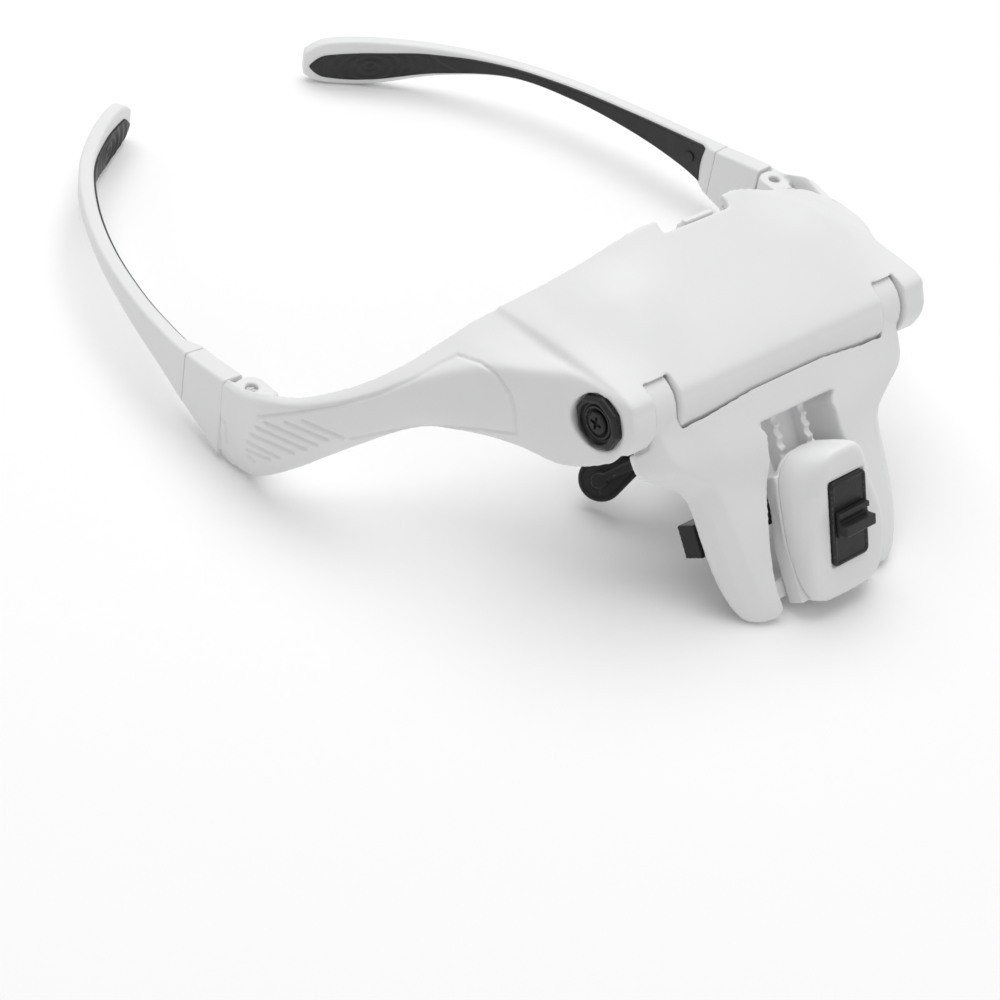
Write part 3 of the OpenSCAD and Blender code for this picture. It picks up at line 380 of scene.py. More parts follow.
# Materials: each has its own colour drift, grain and gloss
def material(name, colour, drift, rough, rough_drift=0.05, metal=0.0, coat=0.0, grain=1600.0, bump=0.06,
             broad=45.0, edge=None, stretch=None, sheen=0.0, shine=0.5):
    """colour drifts to drift in broad patches, edge is a painted highlight, a lighter tone on sharp edges where
    they would catch the light, and grain is a fine bump.
    """
    mat = bpy.data.materials.new(name)
    mat.use_nodes = True
    nodes, links = mat.node_tree.nodes, mat.node_tree.links
    shader = nodes["Principled BSDF"]
    shader.inputs["Metallic"].default_value = metal
    shader.inputs["Coat Weight"].default_value = coat
    shader.inputs["Coat Roughness"].default_value = 0.18
    shader.inputs["Sheen Weight"].default_value = sheen
    shader.inputs["Specular IOR Level"].default_value = shine
    coords = nodes.new("ShaderNodeTexCoord")
    source = coords.outputs["Object"]
    if stretch:
        mapping = nodes.new("ShaderNodeMapping")
        mapping.inputs["Scale"].default_value = stretch
        links.new(source, mapping.inputs["Vector"])
        source = mapping.outputs["Vector"]

    def noise(scale, detail):
        node = nodes.new("ShaderNodeTexNoise")
        node.inputs["Scale"].default_value = scale
        node.inputs["Detail"].default_value = detail
        links.new(source, node.inputs["Vector"])
        return node.outputs["Fac"]

    def ranged(value, low, high):
        node = nodes.new("ShaderNodeMapRange")
        node.inputs["From Min"].default_value = 0.3
        node.inputs["From Max"].default_value = 0.7
        node.inputs["To Min"].default_value = low
        node.inputs["To Max"].default_value = high
        links.new(value, node.inputs["Value"])
        return node.outputs["Result"]

    def mixed(fac, a, b):
        node = nodes.new("ShaderNodeMix")
        node.data_type = "RGBA"
        links.new(fac, node.inputs[0])
        for key, value in ((6, a), (7, b)):
            if isinstance(value, tuple):
                node.inputs[key].default_value = value
            else:
                links.new(value, node.inputs[key])
        return node.outputs[2]

    tone = mixed(ranged(noise(broad, 4), 0, 1), (*colour, 1), (*drift, 1))
    # Sharp edges take the edge tone: a painted highlight where edges would catch the light
    if edge:
        geometry = nodes.new("ShaderNodeNewGeometry")
        painted_edge_highlight = nodes.new("ShaderNodeMapRange")
        painted_edge_highlight.inputs["From Min"].default_value = 0.52
        painted_edge_highlight.inputs["From Max"].default_value = 0.6
        links.new(geometry.outputs["Pointiness"], painted_edge_highlight.inputs["Value"])
        tone = mixed(painted_edge_highlight.outputs["Result"], tone, (*edge, 1))
    links.new(tone, shader.inputs["Base Color"])
    links.new(ranged(noise(broad * 5, 3), rough - rough_drift, rough + rough_drift), shader.inputs["Roughness"])
    node = nodes.new("ShaderNodeBump")
    node.inputs["Strength"].default_value = bump
    node.inputs["Distance"].default_value = 0.0002
    links.new(noise(grain, 3), node.inputs["Height"])
    links.new(node.outputs["Normal"], shader.inputs["Normal"])
    return mat


WHITE = material("white_moulded_plastic", (0.83, 0.832, 0.835), (0.8, 0.803, 0.808), 0.52, coat=0.04, bump=0.05)
INNER = material("inner_moulded_plastic", (0.84, 0.842, 0.85), (0.81, 0.813, 0.82), 0.45, bump=0.08)
# The edge tones of the black materials are lighter than their colours: painted highlights on their sharp edges
BLACK = material("black_satin_plastic", (0.018, 0.018, 0.019), (0.026, 0.026, 0.027), 0.38, 0.08, shine=0.3,
                 bump=0.16, edge=(0.06, 0.06, 0.062))
RUBBER = material("black_soft_rubber", (0.018, 0.018, 0.019), (0.028, 0.028, 0.029), 0.5, 0.08, shine=0.35,
                  bump=0.25, grain=2400, edge=(0.034, 0.034, 0.035), sheen=0.05)
STEEL = material("nickel_plated_steel", (0.62, 0.62, 0.63), (0.54, 0.54, 0.55), 0.28, 0.08, metal=1.0, bump=0.2,
                 grain=500, stretch=(1, 1, 9))
DARK_STEEL = material("blackened_steel", (0.014, 0.014, 0.015), (0.02, 0.02, 0.021), 0.42, 0.08, shine=0.35,
                      metal=0.2, bump=0.2, grain=900, edge=(0.03, 0.03, 0.03))
GREY = material("grey_moulded_plastic", (0.32, 0.33, 0.35), (0.27, 0.28, 0.3), 0.5, bump=0.2)
BOARD = material("green_lacquered_board", (0.03, 0.17, 0.07), (0.05, 0.23, 0.1), 0.3, coat=0.5, bump=0.3,
                 grain=900)
GILT = material("gilt_contact_metal", (0.78, 0.6, 0.28), (0.68, 0.5, 0.22), 0.25, metal=1.0, bump=0.2,
                grain=600, stretch=(1, 1, 8))
CLEAR = material("clear_lamp_window", (0.93, 0.95, 0.97), (0.9, 0.93, 0.95), 0.08, 0.03, bump=0.03)
CLEAR.node_tree.nodes["Principled BSDF"].inputs["Transmission Weight"].default_value = 0.9
RESIN = material("led_resin", (0.93, 0.9, 0.72), (0.9, 0.86, 0.66), 0.12, 0.04, coat=0.4, bump=0.03)
RESIN.node_tree.nodes["Principled BSDF"].inputs["Transmission Weight"].default_value = 0.35
SLOTS = {"white_plastic": WHITE, "inner_plastic": INNER, "black_plastic": BLACK, "black_rubber": RUBBER,
         "steel": STEEL, "dark_steel": DARK_STEEL, "grey_plastic": GREY, "board": BOARD, "gilt_contact": GILT,
         "clear_plastic": CLEAR, "led_resin": RESIN}
for part in frame["record"]["subparts"]:
    node = frame["nodes"][part["node"]]
    node.data.materials.clear()
    node.data.materials.append(SLOTS[part["material_slot"]])


# Visor surface: columns from the middle to a wing's end, rows from the rear edge down. ROLL_ROWS are angles
# round the roll from its top
ROLL_ROWS = [25, 57, 90, 123.5]
SIDE_X = EAR_OUT + 0.7


def soft_min(a, b, k):
    """The lower of a and b, with the bend between them rounded over k."""
    h = max(0, k - abs(a - b)) / k
    return min(a, b) - h * h * k / 4


def hood_z(x, y):
    """Height of the hood: a plane that rises to the rear, and a slope to each side."""
    return soft_min(BROW_RISE + 0.448 * (y - BROW_REAR), 57.3 - 0.45 * (x - 14) - 0.073 * (y + 40.5), 2)


def on_roll(x, degrees, r):
    a = math.radians(degrees)
    return [x, FLIP[1] - r * math.sin(a), FLIP[2] + r * math.cos(a)]


def hood_column(x, r, d):
    """The hood and roll at x, from the rear edge down, at depth d under the outer surface."""
    y0 = BROW_REAR + 52 * (1 - math.sqrt(1 - (x / 79.5) ** 2))
    crest = on_roll(x, ROLL_ROWS[0], r)
    rows = []
    for t in (0, 0.45):
        y = lerp(y0, crest[1], t)
        rows.append([x, y, hood_z(x, y) - t * (ROLL_R - r) - 1.08 * d])
    return rows + [on_roll(x, a, r - d) for a in ROLL_ROWS]


# Each station of the flank and wing: top edge, shoulder, lower edge, outward bulge
FLANK = [
    ([41.5, -35.4, 44.2], [SIDE_X, -66.8, 45], [SIDE_X, -70.6, 31.2], 0.2),
    ([44.9, -34.3, 42.5], [SIDE_X + 1.7, -58.3, 44.0], [SIDE_X + 1.6, -61.4, 25.0], 0.8),
    ([48.9, -33.4, 40.3], [48, -50.4, 42.2], [46.9, -52.4, 25.4], 1),
    ([53.5, -31.9, 37.2], [52.6, -43, 39.2], [51.4, -45.3, 25.3], 1),
    ([58.8, -29.9, 33.8], [59.1, -35.9, 34.4], [58, -37.4, 24], 0.8),
    ([65, -25.7, 29.3], [66.6, -28.8, 28.3], [65.3, -29.3, 17.1], 0.8),
    ([71.5, -19.3, 25], [73.5, -20.5, 23.6], [72, -20.3, 8.0], 0.8),
    ([75.1, -12.9, 23], [76.9, -13.9, 21.4], [75.2, -13.5, 2.6], 0.8),
    ([75.6, -6.9, 20.4], [77.1, -7.3, 18.7], [75.9, -7.2, 0.8], 0.5),
    ([75.8, -2.05, 19.6], [77.2, -2.05, 17.8], [76, -2.05, 0.8], 0.3)]
FLANK = [tuple(np.asarray(v, float) for v in s[:3]) + (s[3],) for s in FLANK]


def flank_column(i, d):
    top, shoulder, low, bulge = FLANK[i]
    a, b = FLANK[max(i - 1, 0)][1], FLANK[min(i + 1, len(FLANK) - 1)][1]
    out = unit([b[1] - a[1], a[0] - b[0], 0])
    up = np.array([0, 0, 1.0])
    return [top - up * d,
            lerp(top, shoulder, 0.5) - out * 0.4 * d + up * (0.4 * bulge - 0.9 * d),
            shoulder - out * 0.85 * d - up * 0.5 * d,
            lerp(shoulder, low, 0.33) + out * (bulge - d),
            lerp(shoulder, low, 0.67) + out * (bulge - d),
            low - out * d]


def visor_net(d):
    half = [hood_column(x, ROLL_R, d) for x in (0, 13, 26 - 0.3 * d, 36 - 0.7 * d)]
    half += [hood_column(EAR_OUT - 0.9 - d, ROLL_R, d), hood_column(EAR_OUT - d, ROLL_R - 0.7, d)]
    half += [flank_column(i, d) for i in range(len(FLANK))]
    half = np.array(half, float)
    return np.concatenate([half[:0:-1] * [-1, 1, 1], half])


def axle(start, end, r):
    """Rod along the flip axis."""
    return rod([start, FLIP[1], FLIP[2]], [end, FLIP[1], FLIP[2]], r)


def upright(x, y, low, high, r):
    return rod([x, y, low], [x, y, high], r, 40)


def build_visor():
    us, vs = np.linspace(0, 1, 361), np.linspace(0, 1, 91)
    adds = [layer(surface(visor_net(0), us, vs), surface(visor_net(SHELL_T), us, vs))]
    lugs = []
    for low, high in ((LUG_LOW, LUG_GAP[0]), (LUG_GAP[1], LUG_TOP)):
        lugs += [upright(HINGE[0], HINGE[1], low, high, LUG_R),
                 box([HINGE[0] - LUG_R, HINGE[1] - 4.5, low], [HINGE[0] + 1.6, HINGE[1], high])]
    adds += both(axle(SLOT_OUT - 1, EAR_OUT - 0.6, ROLL_R - 0.8),
                 axle(EAR_OUT - 1, EAR_OUT + 0.5, ROLL_R - 1.5),
                 axle(ROLL_HALF - 2, ROLL_HALF + 1, ROLL_R - 0.8),
                 box([SLOT_OUT + 0.1, FLIP[1] - 3, FLIP[2] + 1], [EAR_OUT - 1.6, FLIP[1] + 9, FLIP[2] + 6.8]),
                 *lugs)
    adds.append(box([-BOSS_HALF, BOSS_FRONT, FLIP[2] - 7],
                    [BOSS_HALF, BOSS_FRONT + BOSS_DEPTH, FLIP[2] + 10.5]))
    # Each slot lets its knuckle turn, and the shoulder under it swing through the front
    slot = [axle(ROLL_HALF, SLOT_OUT, KNUCKLE_R + KNUCKLE_GAP),
            box([ROLL_HALF, FLIP[1] - 14, FLIP[2] - 14], [SLOT_OUT, FLIP[1] + 6, FLIP[2]])]
    angles = np.linspace(math.pi / 2, math.pi * 1.5, 40)
    front = [[SWING_R * math.cos(a), SWING_R * math.sin(a)] for a in angles]
    half_disc = loft([[[x, y, z] for y, z in front] for x in (ROLL_HALF, SLOT_OUT)])
    slot.append((turn_x(half_disc[0], 20) + FLIP, half_disc[1]))
    cuts = both(axle(SLOT_OUT - 0.5, EAR_OUT + 3, SLEEVE_R + 0.05),
                axle(KNOB_X - 0.1, KNOB_X + 6, KNOB_R + 0.12),
                upright(HINGE[0], HINGE[1], LUG_LOW - 1, LUG_TOP + 2, 1),
                upright(HINGE[0], HINGE[1], LUG_TOP - 1.4, LUG_TOP + 3, 1.3), *slot)
    cuts.append(box([-NOTCH_HALF, NOTCH_REAR, BROW_RISE - 5], [NOTCH_HALF, BROW_REAR + 6, BROW_RISE + 5]))
    return moulded("visor_moulding", adds, cuts, voxel=0.36, soften=5)


def cover_row(t):
    """Where the inner brow cover starts and ends down the visor's rows: it is short at the middle."""
    s = abs(2 * t - 1)
    k = min(max((s - 0.4) / 0.28, 0), 1)
    return lerp(0.012, 0.42, k), lerp(0.2, 0.96, k)


def cover_grid(d):
    """Grid over the part of the visor that the inner brow cover lines, at depth d."""
    net = visor_net(d)
    rows = []
    for u in np.linspace(0.1, 0.9, 241):
        low, high = cover_row(u)
        rows.append(surface(net, [u], np.linspace(low, high, 41))[0])
    return np.array(rows)


def build_brow_cover():
    depth = SHELL_T + COVER_GAP
    latch = (-3, 5)
    adds = [layer(cover_grid(depth), cover_grid(depth + COVER_T)),
            box([latch[0], NOTCH_REAR - 2.2, BROW_RISE - 5.4], [latch[1], NOTCH_REAR + 1.4, BROW_RISE - 3.9]),
            box([latch[0], NOTCH_REAR + 0.3, BROW_RISE - 5.4], [latch[1], NOTCH_REAR + 1.6, BROW_RISE - 1])]
    cuts = [box([x0, NOTCH_REAR, BROW_RISE - 12], [x1, NOTCH_REAR + 8, BROW_RISE + 3])
            for x0, x1 in ((-NOTCH_HALF, latch[0] - 0.2), (latch[1] + 0.2, NOTCH_HALF))]
    return moulded("brow_inner_cover", adds, cuts, voxel=0.34, soften=4)


# Flip bracket. Each station: distance along the leg, outer, bevel and inner x, and the front face's height at
# each of the three
LEG = np.array([
    [4.5, 36.2, 33, 29, 0.5, 5.2, 6.2],
    [8.8, 36.4, 32.5, WINDOW_HALF + 5, 0.2, 5.4, 7],
    [13, 35.6, 30.5, WINDOW_HALF, 0, 5.4, 7.4],
    [16, 31.5, 27, WINDOW_HALF, 0, 5, 7.4],
    [19.5, 27, 23, WINDOW_HALF + 0.4, 0, 4.6, 6.9],
    [23.5, 25.6, 21.6, WINDOW_HALF + 2, 0, 4.5, 6.1],
    [30, 25.3, 20.8, WINDOW_HALF + 3.8, 0, 4.5, 5.9],
    [37, 24.6, 20, WINDOW_HALF + 5, 0, 4.3, 5.3],
    [43, 23, 18.6, WINDOW_HALF + 5.2, 0, 4, 4.7],
    [LEG_REACH - 1.6, 20.6, 17.2, WINDOW_HALF + 4.4, 0.1, 3.4, 4],
    [LEG_REACH, 18, 16.2, WINDOW_HALF + 5.2, 0.4, 2.2, 2.6]])


def leg_ring(u):
    """Section of a leg: the bevelled front, then the wall beside the window and the hollow rear."""
    w, x0, x1, x2, h0, h1, h2 = spline(LEG, u)[0]
    t = LEG_T * min(1, 0.45 + (LEG_REACH - w) * 0.35)
    flat = t - h2
    back = 2.4 if 0.14 < u < 0.52 else flat
    return [[x0, -h0, -w], [lerp(x0, x1, 0.35), -lerp(h0, h1, 0.55), -w], [x1, -h1, -w],
            [lerp(x1, x2, 0.5), -lerp(h1, h2, 0.62), -w], [x2, -h2, -w], [x2, back, -w],
            [x2 + 1.5, back, -w], [x2 + 1.9, flat, -w],
            [lerp(x1, x2, 0.5), -lerp(h1, h2, 0.62) + t, -w],
            [x1 - 0.8, -h1 + t, -w], [x0 - 2, -h0 + t * 0.4, -w], [x0 - 0.6, -h0 + t * 0.7, -w]]


def carrier_rod(x, y0, y1, r):
    """From front to rear at the height of the lens carrier's screws."""
    return rod([x, y0, -CARRIER_SCREW_W], [x, y1, -CARRIER_SCREW_W], r, 32)


def build_rail():
    """The channel with its scalloped walls."""
    adds = [box([-RAIL_HALF, -FOOT_T, -RAIL_LOW], [RAIL_HALF, -RAIL_FLOOR, 2.4 - WINDOW_TOP]),
            box([-RAIL_HALF, -RAIL_H, -WINDOW_TOP], [RAIL_HALF, 0.6, 2.4 - WINDOW_TOP])]
    adds += both(box([RAIL_HALF - RAIL_T, -RAIL_H, -RAIL_LOW], [RAIL_HALF, -RAIL_FLOOR, 1 - WINDOW_TOP]))
    bites = []
    for k in range(int((RAIL_LOW - WINDOW_TOP - 4) / TOOTH_PITCH)):
        z = -WINDOW_TOP - 2 - k * TOOTH_PITCH
        bites.append(rod([RAIL_HALF - RAIL_T - 0.5, -RAIL_H - 0.35, z + 0.6],
                         [RAIL_HALF + 0.5, -RAIL_H - 0.35, z + 0.6], TOOTH_R, 24))
    return moulded("rail_teeth", all_leaned(adds), all_leaned(both(*bites)), voxel=0.16, soften=3)


def build_bracket():
    inner, outer = ROLL_HALF + KNUCKLE_GAP, SLOT_OUT - KNUCKLE_GAP
    leg = loft([leg_ring(u) for u in np.linspace(0, 1, 150)])
    knuckle = rod([inner, 0, 0], [outer, 0, 0], KNUCKLE_R, 96)
    root = box([inner, -3.6, -9], [outer, 2.4, -3])
    adds = both(leg, knuckle, root)
    bar = []
    for x in np.linspace(-28, 28, 57):
        front = np.interp(abs(x), [0, 10, 15, 22, 28], [7.35, 7.3, 6.95, 6.35, 5.75])
        bar.append([[x, -front, -WINDOW_TOP], [x, -front, -2.5], [x, -2.5, -2.5], [x, -2.5, -WINDOW_TOP]])
    adds += [loft(bar), box([-17.5, -FOOT_T, -RAIL_LOW], [17.5, 0, 3.6 - RAIL_LOW])]
    cuts = [rod([-ROLL_HALF, 0, 0], [ROLL_HALF, 0, 0], ROLL_R + 0.5, 96)]
    cuts += both(rod([EAR_OUT - 24, 0, 0], [EAR_OUT + 6, 0, 0], SHANK_R, 32),
                 rod([outer, 0, 0], [SLOT_OUT + 8, 0, 0], ROLL_R + 0.5, 96),
                 carrier_rod(CARRIER_SCREW_X, -3.8, 3.8, 1))
    # The legs end flat on the table
    table = box([-60, -120, -5], [60, -80, 0.02])
    return moulded("flip_bracket_moulding", all_leaned(adds), all_leaned(cuts) + [table], voxel=0.34, soften=5)


# Lamp. Its outline is an arch above and a rounded end below, each with its powers across and along. The crease
# pinches the front, and the edge gives the inset from the outline at each share of the depth
ARCH_POWERS = (0.6, 0.8)
END_POWERS = (0.42, 0.62)
CREASE_W = [19, 21, 25, 27.4, 31, 34.6, 38, 50]
CREASE_X = [7.9, 7.9, 7.5, 7.4, 8.6, 9.7, 10.1, 10.2]
LAMP_EDGE = [(0, 0), (0.35, 0), (0.6, 0.05), (0.75, 0.15), (0.85, 0.3), (0.92, 0.55), (0.96, 0.85),
             (0.985, 1.25), (1, 1.8)]


def lamp_face(w):
    """How far the tilted face stands out at w down the legs."""
    return LAMP_FRONT - math.tan(math.radians(LAMP_TILT)) * (w - FACE_FROM)


def lamp_spread(w):
    """The lamp is a little wider towards its lower end."""
    t = min(max((w - 28) / 9, 0), 1)
    return 1 + 0.07 * t * t * (3 - 2 * t)


def lamp_ring(inset, back, drop, part, pinch):
    """The outline at a share (part) of the way from the height back to the face, pinched in to the crease."""
    points = []
    half_length = (LAMP_END - LAMP_TOP) / 2 - inset
    for k in range(LAMP_SIDES):
        a = 2 * math.pi * (k + 0.5) / LAMP_SIDES
        c, s = math.cos(a), math.sin(a)
        across, along = ARCH_POWERS if s > 0 else END_POWERS
        x = math.copysign(abs(c) ** across, c) * (LAMP_HALF - inset)
        w = (LAMP_TOP + LAMP_END) / 2 - math.copysign(abs(s) ** along, s) * half_length
        edge = np.interp(w, CREASE_W, CREASE_X) - inset
        narrow = lerp(1, min(1, edge / (LAMP_HALF - inset)), pinch)
        points.append([x * narrow * lamp_spread(w), -lerp(back, lamp_face(w) - drop, part), -w])
    return points


def lamp_solid(inset, back, drop):
    """The lamp's body from the height back to its face, inset from the outline and drop under the face."""
    return loft([lamp_ring(inset + extra, back, drop, part, min(1, part * part * 1.05))
                 for part, extra in LAMP_EDGE])


def at_face(part, w, lift):
    """From the axes of the lamp's face at w to the bracket's."""
    return turn_x(part[0], LAMP_TILT) + [0, -lamp_face(w) - lift, -w], part[1]


def on_plate(part):
    return leaned(at_face(part, PLATE_MID, -SEAT))


def build_lamp_front():
    adds = [leaned(lamp_solid(0, LAMP_SPLIT, 0))]
    slot = box([-2.4, -0.5, -3.5], [2.4, 2.5, 3.5])
    half_w, half_l = PLATE_W / 2 + 0.15, PLATE_L / 2 + 0.15
    seat = box([-half_w, -3, -half_l], [half_w, 0, half_l])
    window = box([-5.1, -LAMP_SPLIT - 1.4, -LAMP_END - 0.7], [5.1, -LAMP_SPLIT - 0.3, -LAMP_END + 2.3])
    cuts = [leaned(lamp_solid(LAMP_T, LAMP_SPLIT - 0.5, LAMP_T)), on_plate(seat),
            leaned(at_face(slot, PLATE_MID, 0)), leaned(window)]
    return moulded("lamp_front_moulding", adds, cuts, voxel=0.22, soften=5)


def build_lamp_rear():
    outline = np.array(lamp_ring(0, 0, 0, 0, 0))
    low, high = outline.copy(), outline.copy()
    low[:, 1], high[:, 1] = -LAMP_SPLIT + 1.02, -LAMP_SPLIT + 0.02
    front, rear = -LAMP_SPLIT + 0.02, -2.18
    body = []
    for w in np.linspace(22.4, 47.4, 60):
        half = (WINDOW_HALF - 0.3) * (1 + 2.6 * (lamp_spread(w) - 1))
        body.append([[-half, front, -w], [half, front, -w], [half, rear, -w], [-half, rear, -w]])
    adds = [loft(body), loft([low, high])]
    # Grooves for the rail's walls
    cuts = []
    for x0 in (-RAIL_HALF - 0.3, RAIL_HALF - RAIL_T - 0.3):
        cuts.append(box([x0, -RAIL_H - 0.3, -LAMP_END - 0.5], [x0 + RAIL_T + 0.6, 0, -LAMP_TOP + 0.5]))
    cuts.append(box([-2.3, -LAMP_SPLIT - 0.5, -32.6], [2.3, 0, -23.6]))
    return moulded("lamp_rear_moulding", all_leaned(adds), all_leaned(cuts), voxel=0.22, soften=3)


def build_plate():
    edge = [(0.05, -0.01), (0, -0.3), (0, -PLATE_T + 0.35), (0.12, -PLATE_T + 0.1), (0.38, -PLATE_T)]
    rings = []
    for inset, depth in edge:
        ring = []
        for angle in np.linspace(0, 2 * np.pi, 96, endpoint=False):
            c, s = math.cos(angle), math.sin(angle)
            x = math.copysign(PLATE_W / 2 - PLATE_CORNER, c) + (PLATE_CORNER - inset) * c
            z = math.copysign(PLATE_L / 2 - PLATE_CORNER, s) + (PLATE_CORNER - inset) * s
            ring.append([x, depth, z])
        rings.append(ring)
    half_w, half_l = PLATE_W / 2 - PLATE_RIM, PLATE_L / 2 - PLATE_RIM
    recess = box([-half_w, -PLATE_T - 1, -half_l], [half_w, -PLATE_T + 0.22, half_l])
    return moulded("switch_plate", [on_plate(loft(rings))], [on_plate(recess)], voxel=0.13, soften=3)


def build_slider():
    """Three bars across the plate: a low one, the broad base, and the thumb ridge."""
    base = 0.1 - PLATE_T
    half = PLATE_W * 0.42
    parts = [box([-half, -PLATE_T - lift, low], [half, base, high])
             for lift, low, high in ((1.25, 1.5, 2.6), (0.75, -2.6, 2.0), (2.75, -1.9, 0.3))]
    return moulded("switch_thumb_ridge", [on_plate(p) for p in parts], voxel=0.13, soften=4)


def build_knob():
    top = KNOB_X + KNOB_H
    base = SLOT_OUT - KNUCKLE_GAP
    sleeve = [(SLEEVE_R - 0.4, base, 0), (SLEEVE_R, base + 0.1, 0), (SLEEVE_R, KNOB_X, 0)]
    octagon = [(KNOB_R - 0.2, KNOB_X, 1), (KNOB_R, KNOB_X + 0.15, 1), (KNOB_R, top - 0.75, 1),
               (KNOB_R - 0.12, top - 0.4, 1), (KNOB_R - 0.75, top - 0.02, 1)]
    groove = [(4.35, top, 0.6), (4.2, top - 0.08, 0.3), (4.05, top - 0.35, 0), (4.0, top - 1.05, 0),
              (3.6, top - 1.1, 0), (3.45, top - 1.05, 0), (3.38, top - 0.7, 0)]
    well = [(3.25, top - 0.55, 0), (2.95, top - 0.55, 0), (2.85, top - 0.65, 0), (2.8, top - 1.08, 0),
            (0.5, top - 1.09, 0)]
    return turned(sleeve + octagon + groove + well, 160)


def build_screw_head():
    seat = KNOB_X + KNOB_H - 1.1
    head = turned([(SHANK_R, ROLL_HALF + 1, 0), (SHANK_R, seat, 0), (SCREW_R - 0.15, seat + 0.02, 0),
                   (SCREW_R, seat + 0.15, 0), (SCREW_R, seat + 0.5, 0), (SCREW_R - 0.15, seat + 0.72, 0),
                   (SCREW_R - 0.6, seat + 0.86, 0), (1.0, seat + 0.92, 0), (0.2, seat + 0.93, 0)], 64)
    y, z = FLIP[1], FLIP[2]
    narrow, wide = 0.3, 1.35
    cross = [box([seat + 0.35, y - dy, z - dz], [seat + 2, y + dy, z + dz])
             for dy, dz in ((narrow, wide), (wide, narrow))]
    return moulded("pivot_screw", [head], cross, voxel=0.1, soften=2)


# Nose pads: a round end and a slim one, with a rolled rim round a shallow face. The rim is rows of inset from
# the pad's outline and height over its middle
PAD_NORMAL = unit([-0.75, 0.45, -0.48])
PAD_MIDDLE = np.array([20.5, -52.6, 6])
PAD_REACH = np.array([15.5, -58.2, 13]) - PAD_MIDDLE
PAD_ALONG = unit(PAD_REACH - PAD_NORMAL * (PAD_REACH @ PAD_NORMAL))
PAD_RIM = [(4.3, 0.92), (3.4, 0.9), (2.4, 0.86), (1.6, 0.82), (1.15, 0.8), (0.95, 0.86), (0.75, 1.04),
           (0.5, 1.09), (0.28, 1.0), (0.1, 0.78), (0, 0.45)]


def pad_ring(inset, height):
    big, small = 4.6 - inset, max(1.6 - inset, 0.12)
    reach = max(9.0 - 0.9 * max(0, inset - 1.48), 0.4)
    tangent = math.acos(min(1, (big - small) / max(reach, big - small + 1e-6)))
    side = unit(np.cross(PAD_NORMAL, PAD_ALONG))
    ring = []
    for angle in np.linspace(tangent, 2 * math.pi - tangent, 64):
        ring.append(big * (math.cos(angle) * PAD_ALONG + math.sin(angle) * side))
    for angle in np.linspace(-tangent, tangent, 26)[1:-1]:
        ring.append(reach * PAD_ALONG + small * (math.cos(angle) * PAD_ALONG + math.sin(angle) * side))
    return PAD_MIDDLE + np.array(ring) + PAD_NORMAL * height


def build_pad():
    return loft([pad_ring(i, -h) for i, h in PAD_RIM] + [pad_ring(i, h) for i, h in PAD_RIM[::-1]])


def build_nose_bracket():
    rear = BOSS_FRONT + BOSS_DEPTH
    plate = box([-BOSS_HALF, rear, 15], [BOSS_HALF, rear + 2.2, FLIP[2]])
    out = PAD_MIDDLE - 2.5 * PAD_NORMAL
    start, elbow = np.array([4.4, rear + 1.1, 16.6]), out + 11.5 * PAD_ALONG
    path = spline([start, lerp(start, elbow, 0.55), lerp(start, elbow, 0.9), lerp(elbow, out, 0.1),
                   lerp(elbow, out, 0.5), out], np.linspace(0, 1, 60))
    adds = [plate] + both(sweep(path, 1.0), rod(out - 1.0 * PAD_NORMAL, out + 1.15 * PAD_NORMAL, 1.6, 48),
                          rod(out, PAD_MIDDLE + 0.4 * PAD_NORMAL, 0.8, 24))
    return moulded("nose_pad_bracket", adds, voxel=0.2, soften=4)


def build_carrier():
    """A bar on two posts, with the socket of a lens in its underside."""
    xs = (-CARRIER_SCREW_X, CARRIER_SCREW_X)
    adds = [box([-CARRIER_HALF, CARRIER_FRONT, -33.3], [CARRIER_HALF, CARRIER_REAR, -26.6])]
    adds += [carrier_rod(x, 5, CARRIER_FRONT - 5.15, 2) for x in xs]
    cuts = [box([-7, 4.7, -34], [7, 6.7, -27.8])] + [carrier_rod(x, -6, 12, 1) for x in xs]
    return moulded("lens_carrier_bar", all_leaned(adds), all_leaned(cuts), voxel=0.24, soften=4)


# Temple and link. Each station: outer plan point, then lower and upper edge. The link runs up to LINK_U
TEMPLE = np.array([
    [77.1, -2.1, 1.0, 19.3],
    [76.9, 4, 3.1, 18.3],
    [76.4, 10.8, 5, 17.2],
    [75.4, 20, 7.4, 16.2],
    [73, 34, 9.2, 15.2],
    [68.4, 51, 10.4, 14.5],
    [61.6, 67, 10.2, 13.9],
    [52, 82, 5.7, 13],
    [40.5, 93.5, 0.7, 12.1],
    [31, 100.4, 0.16, 10.9],
    [26.6, 103.2, 2.2, 7.9]])


def temple_at(u):
    return spline(TEMPLE, u)[0]


def temple_side(u):
    """Unit vector from the temple's outer face inwards."""
    a, b = temple_at(max(u - 0.004, 0)), temple_at(min(u + 0.004, 1))
    return np.array([*unit([-(b[1] - a[1]), b[0] - a[0]]), 0.0])


def section(u, near, far, low, high, r):
    """Rounded section of the temple at u, between two depths from its outer face."""
    x, y, z0, z1 = temple_at(u)
    n = temple_side(u)
    z0, z1 = z0 + low, z1 - high
    r = min(r, (far - near) / 2.05, (z1 - z0) / 2.05)
    ring = []
    for angle in np.linspace(0, 2 * np.pi, 48, endpoint=False):
        c, s = math.cos(angle), math.sin(angle)
        depth = (near + far) / 2 + math.copysign((far - near) / 2 - r, c) + r * c
        z = (z0 + z1) / 2 + math.copysign((z1 - z0) / 2 - r, s) + r * s
        ring.append([x + n[0] * depth, y + n[1] * depth, z])
    return ring


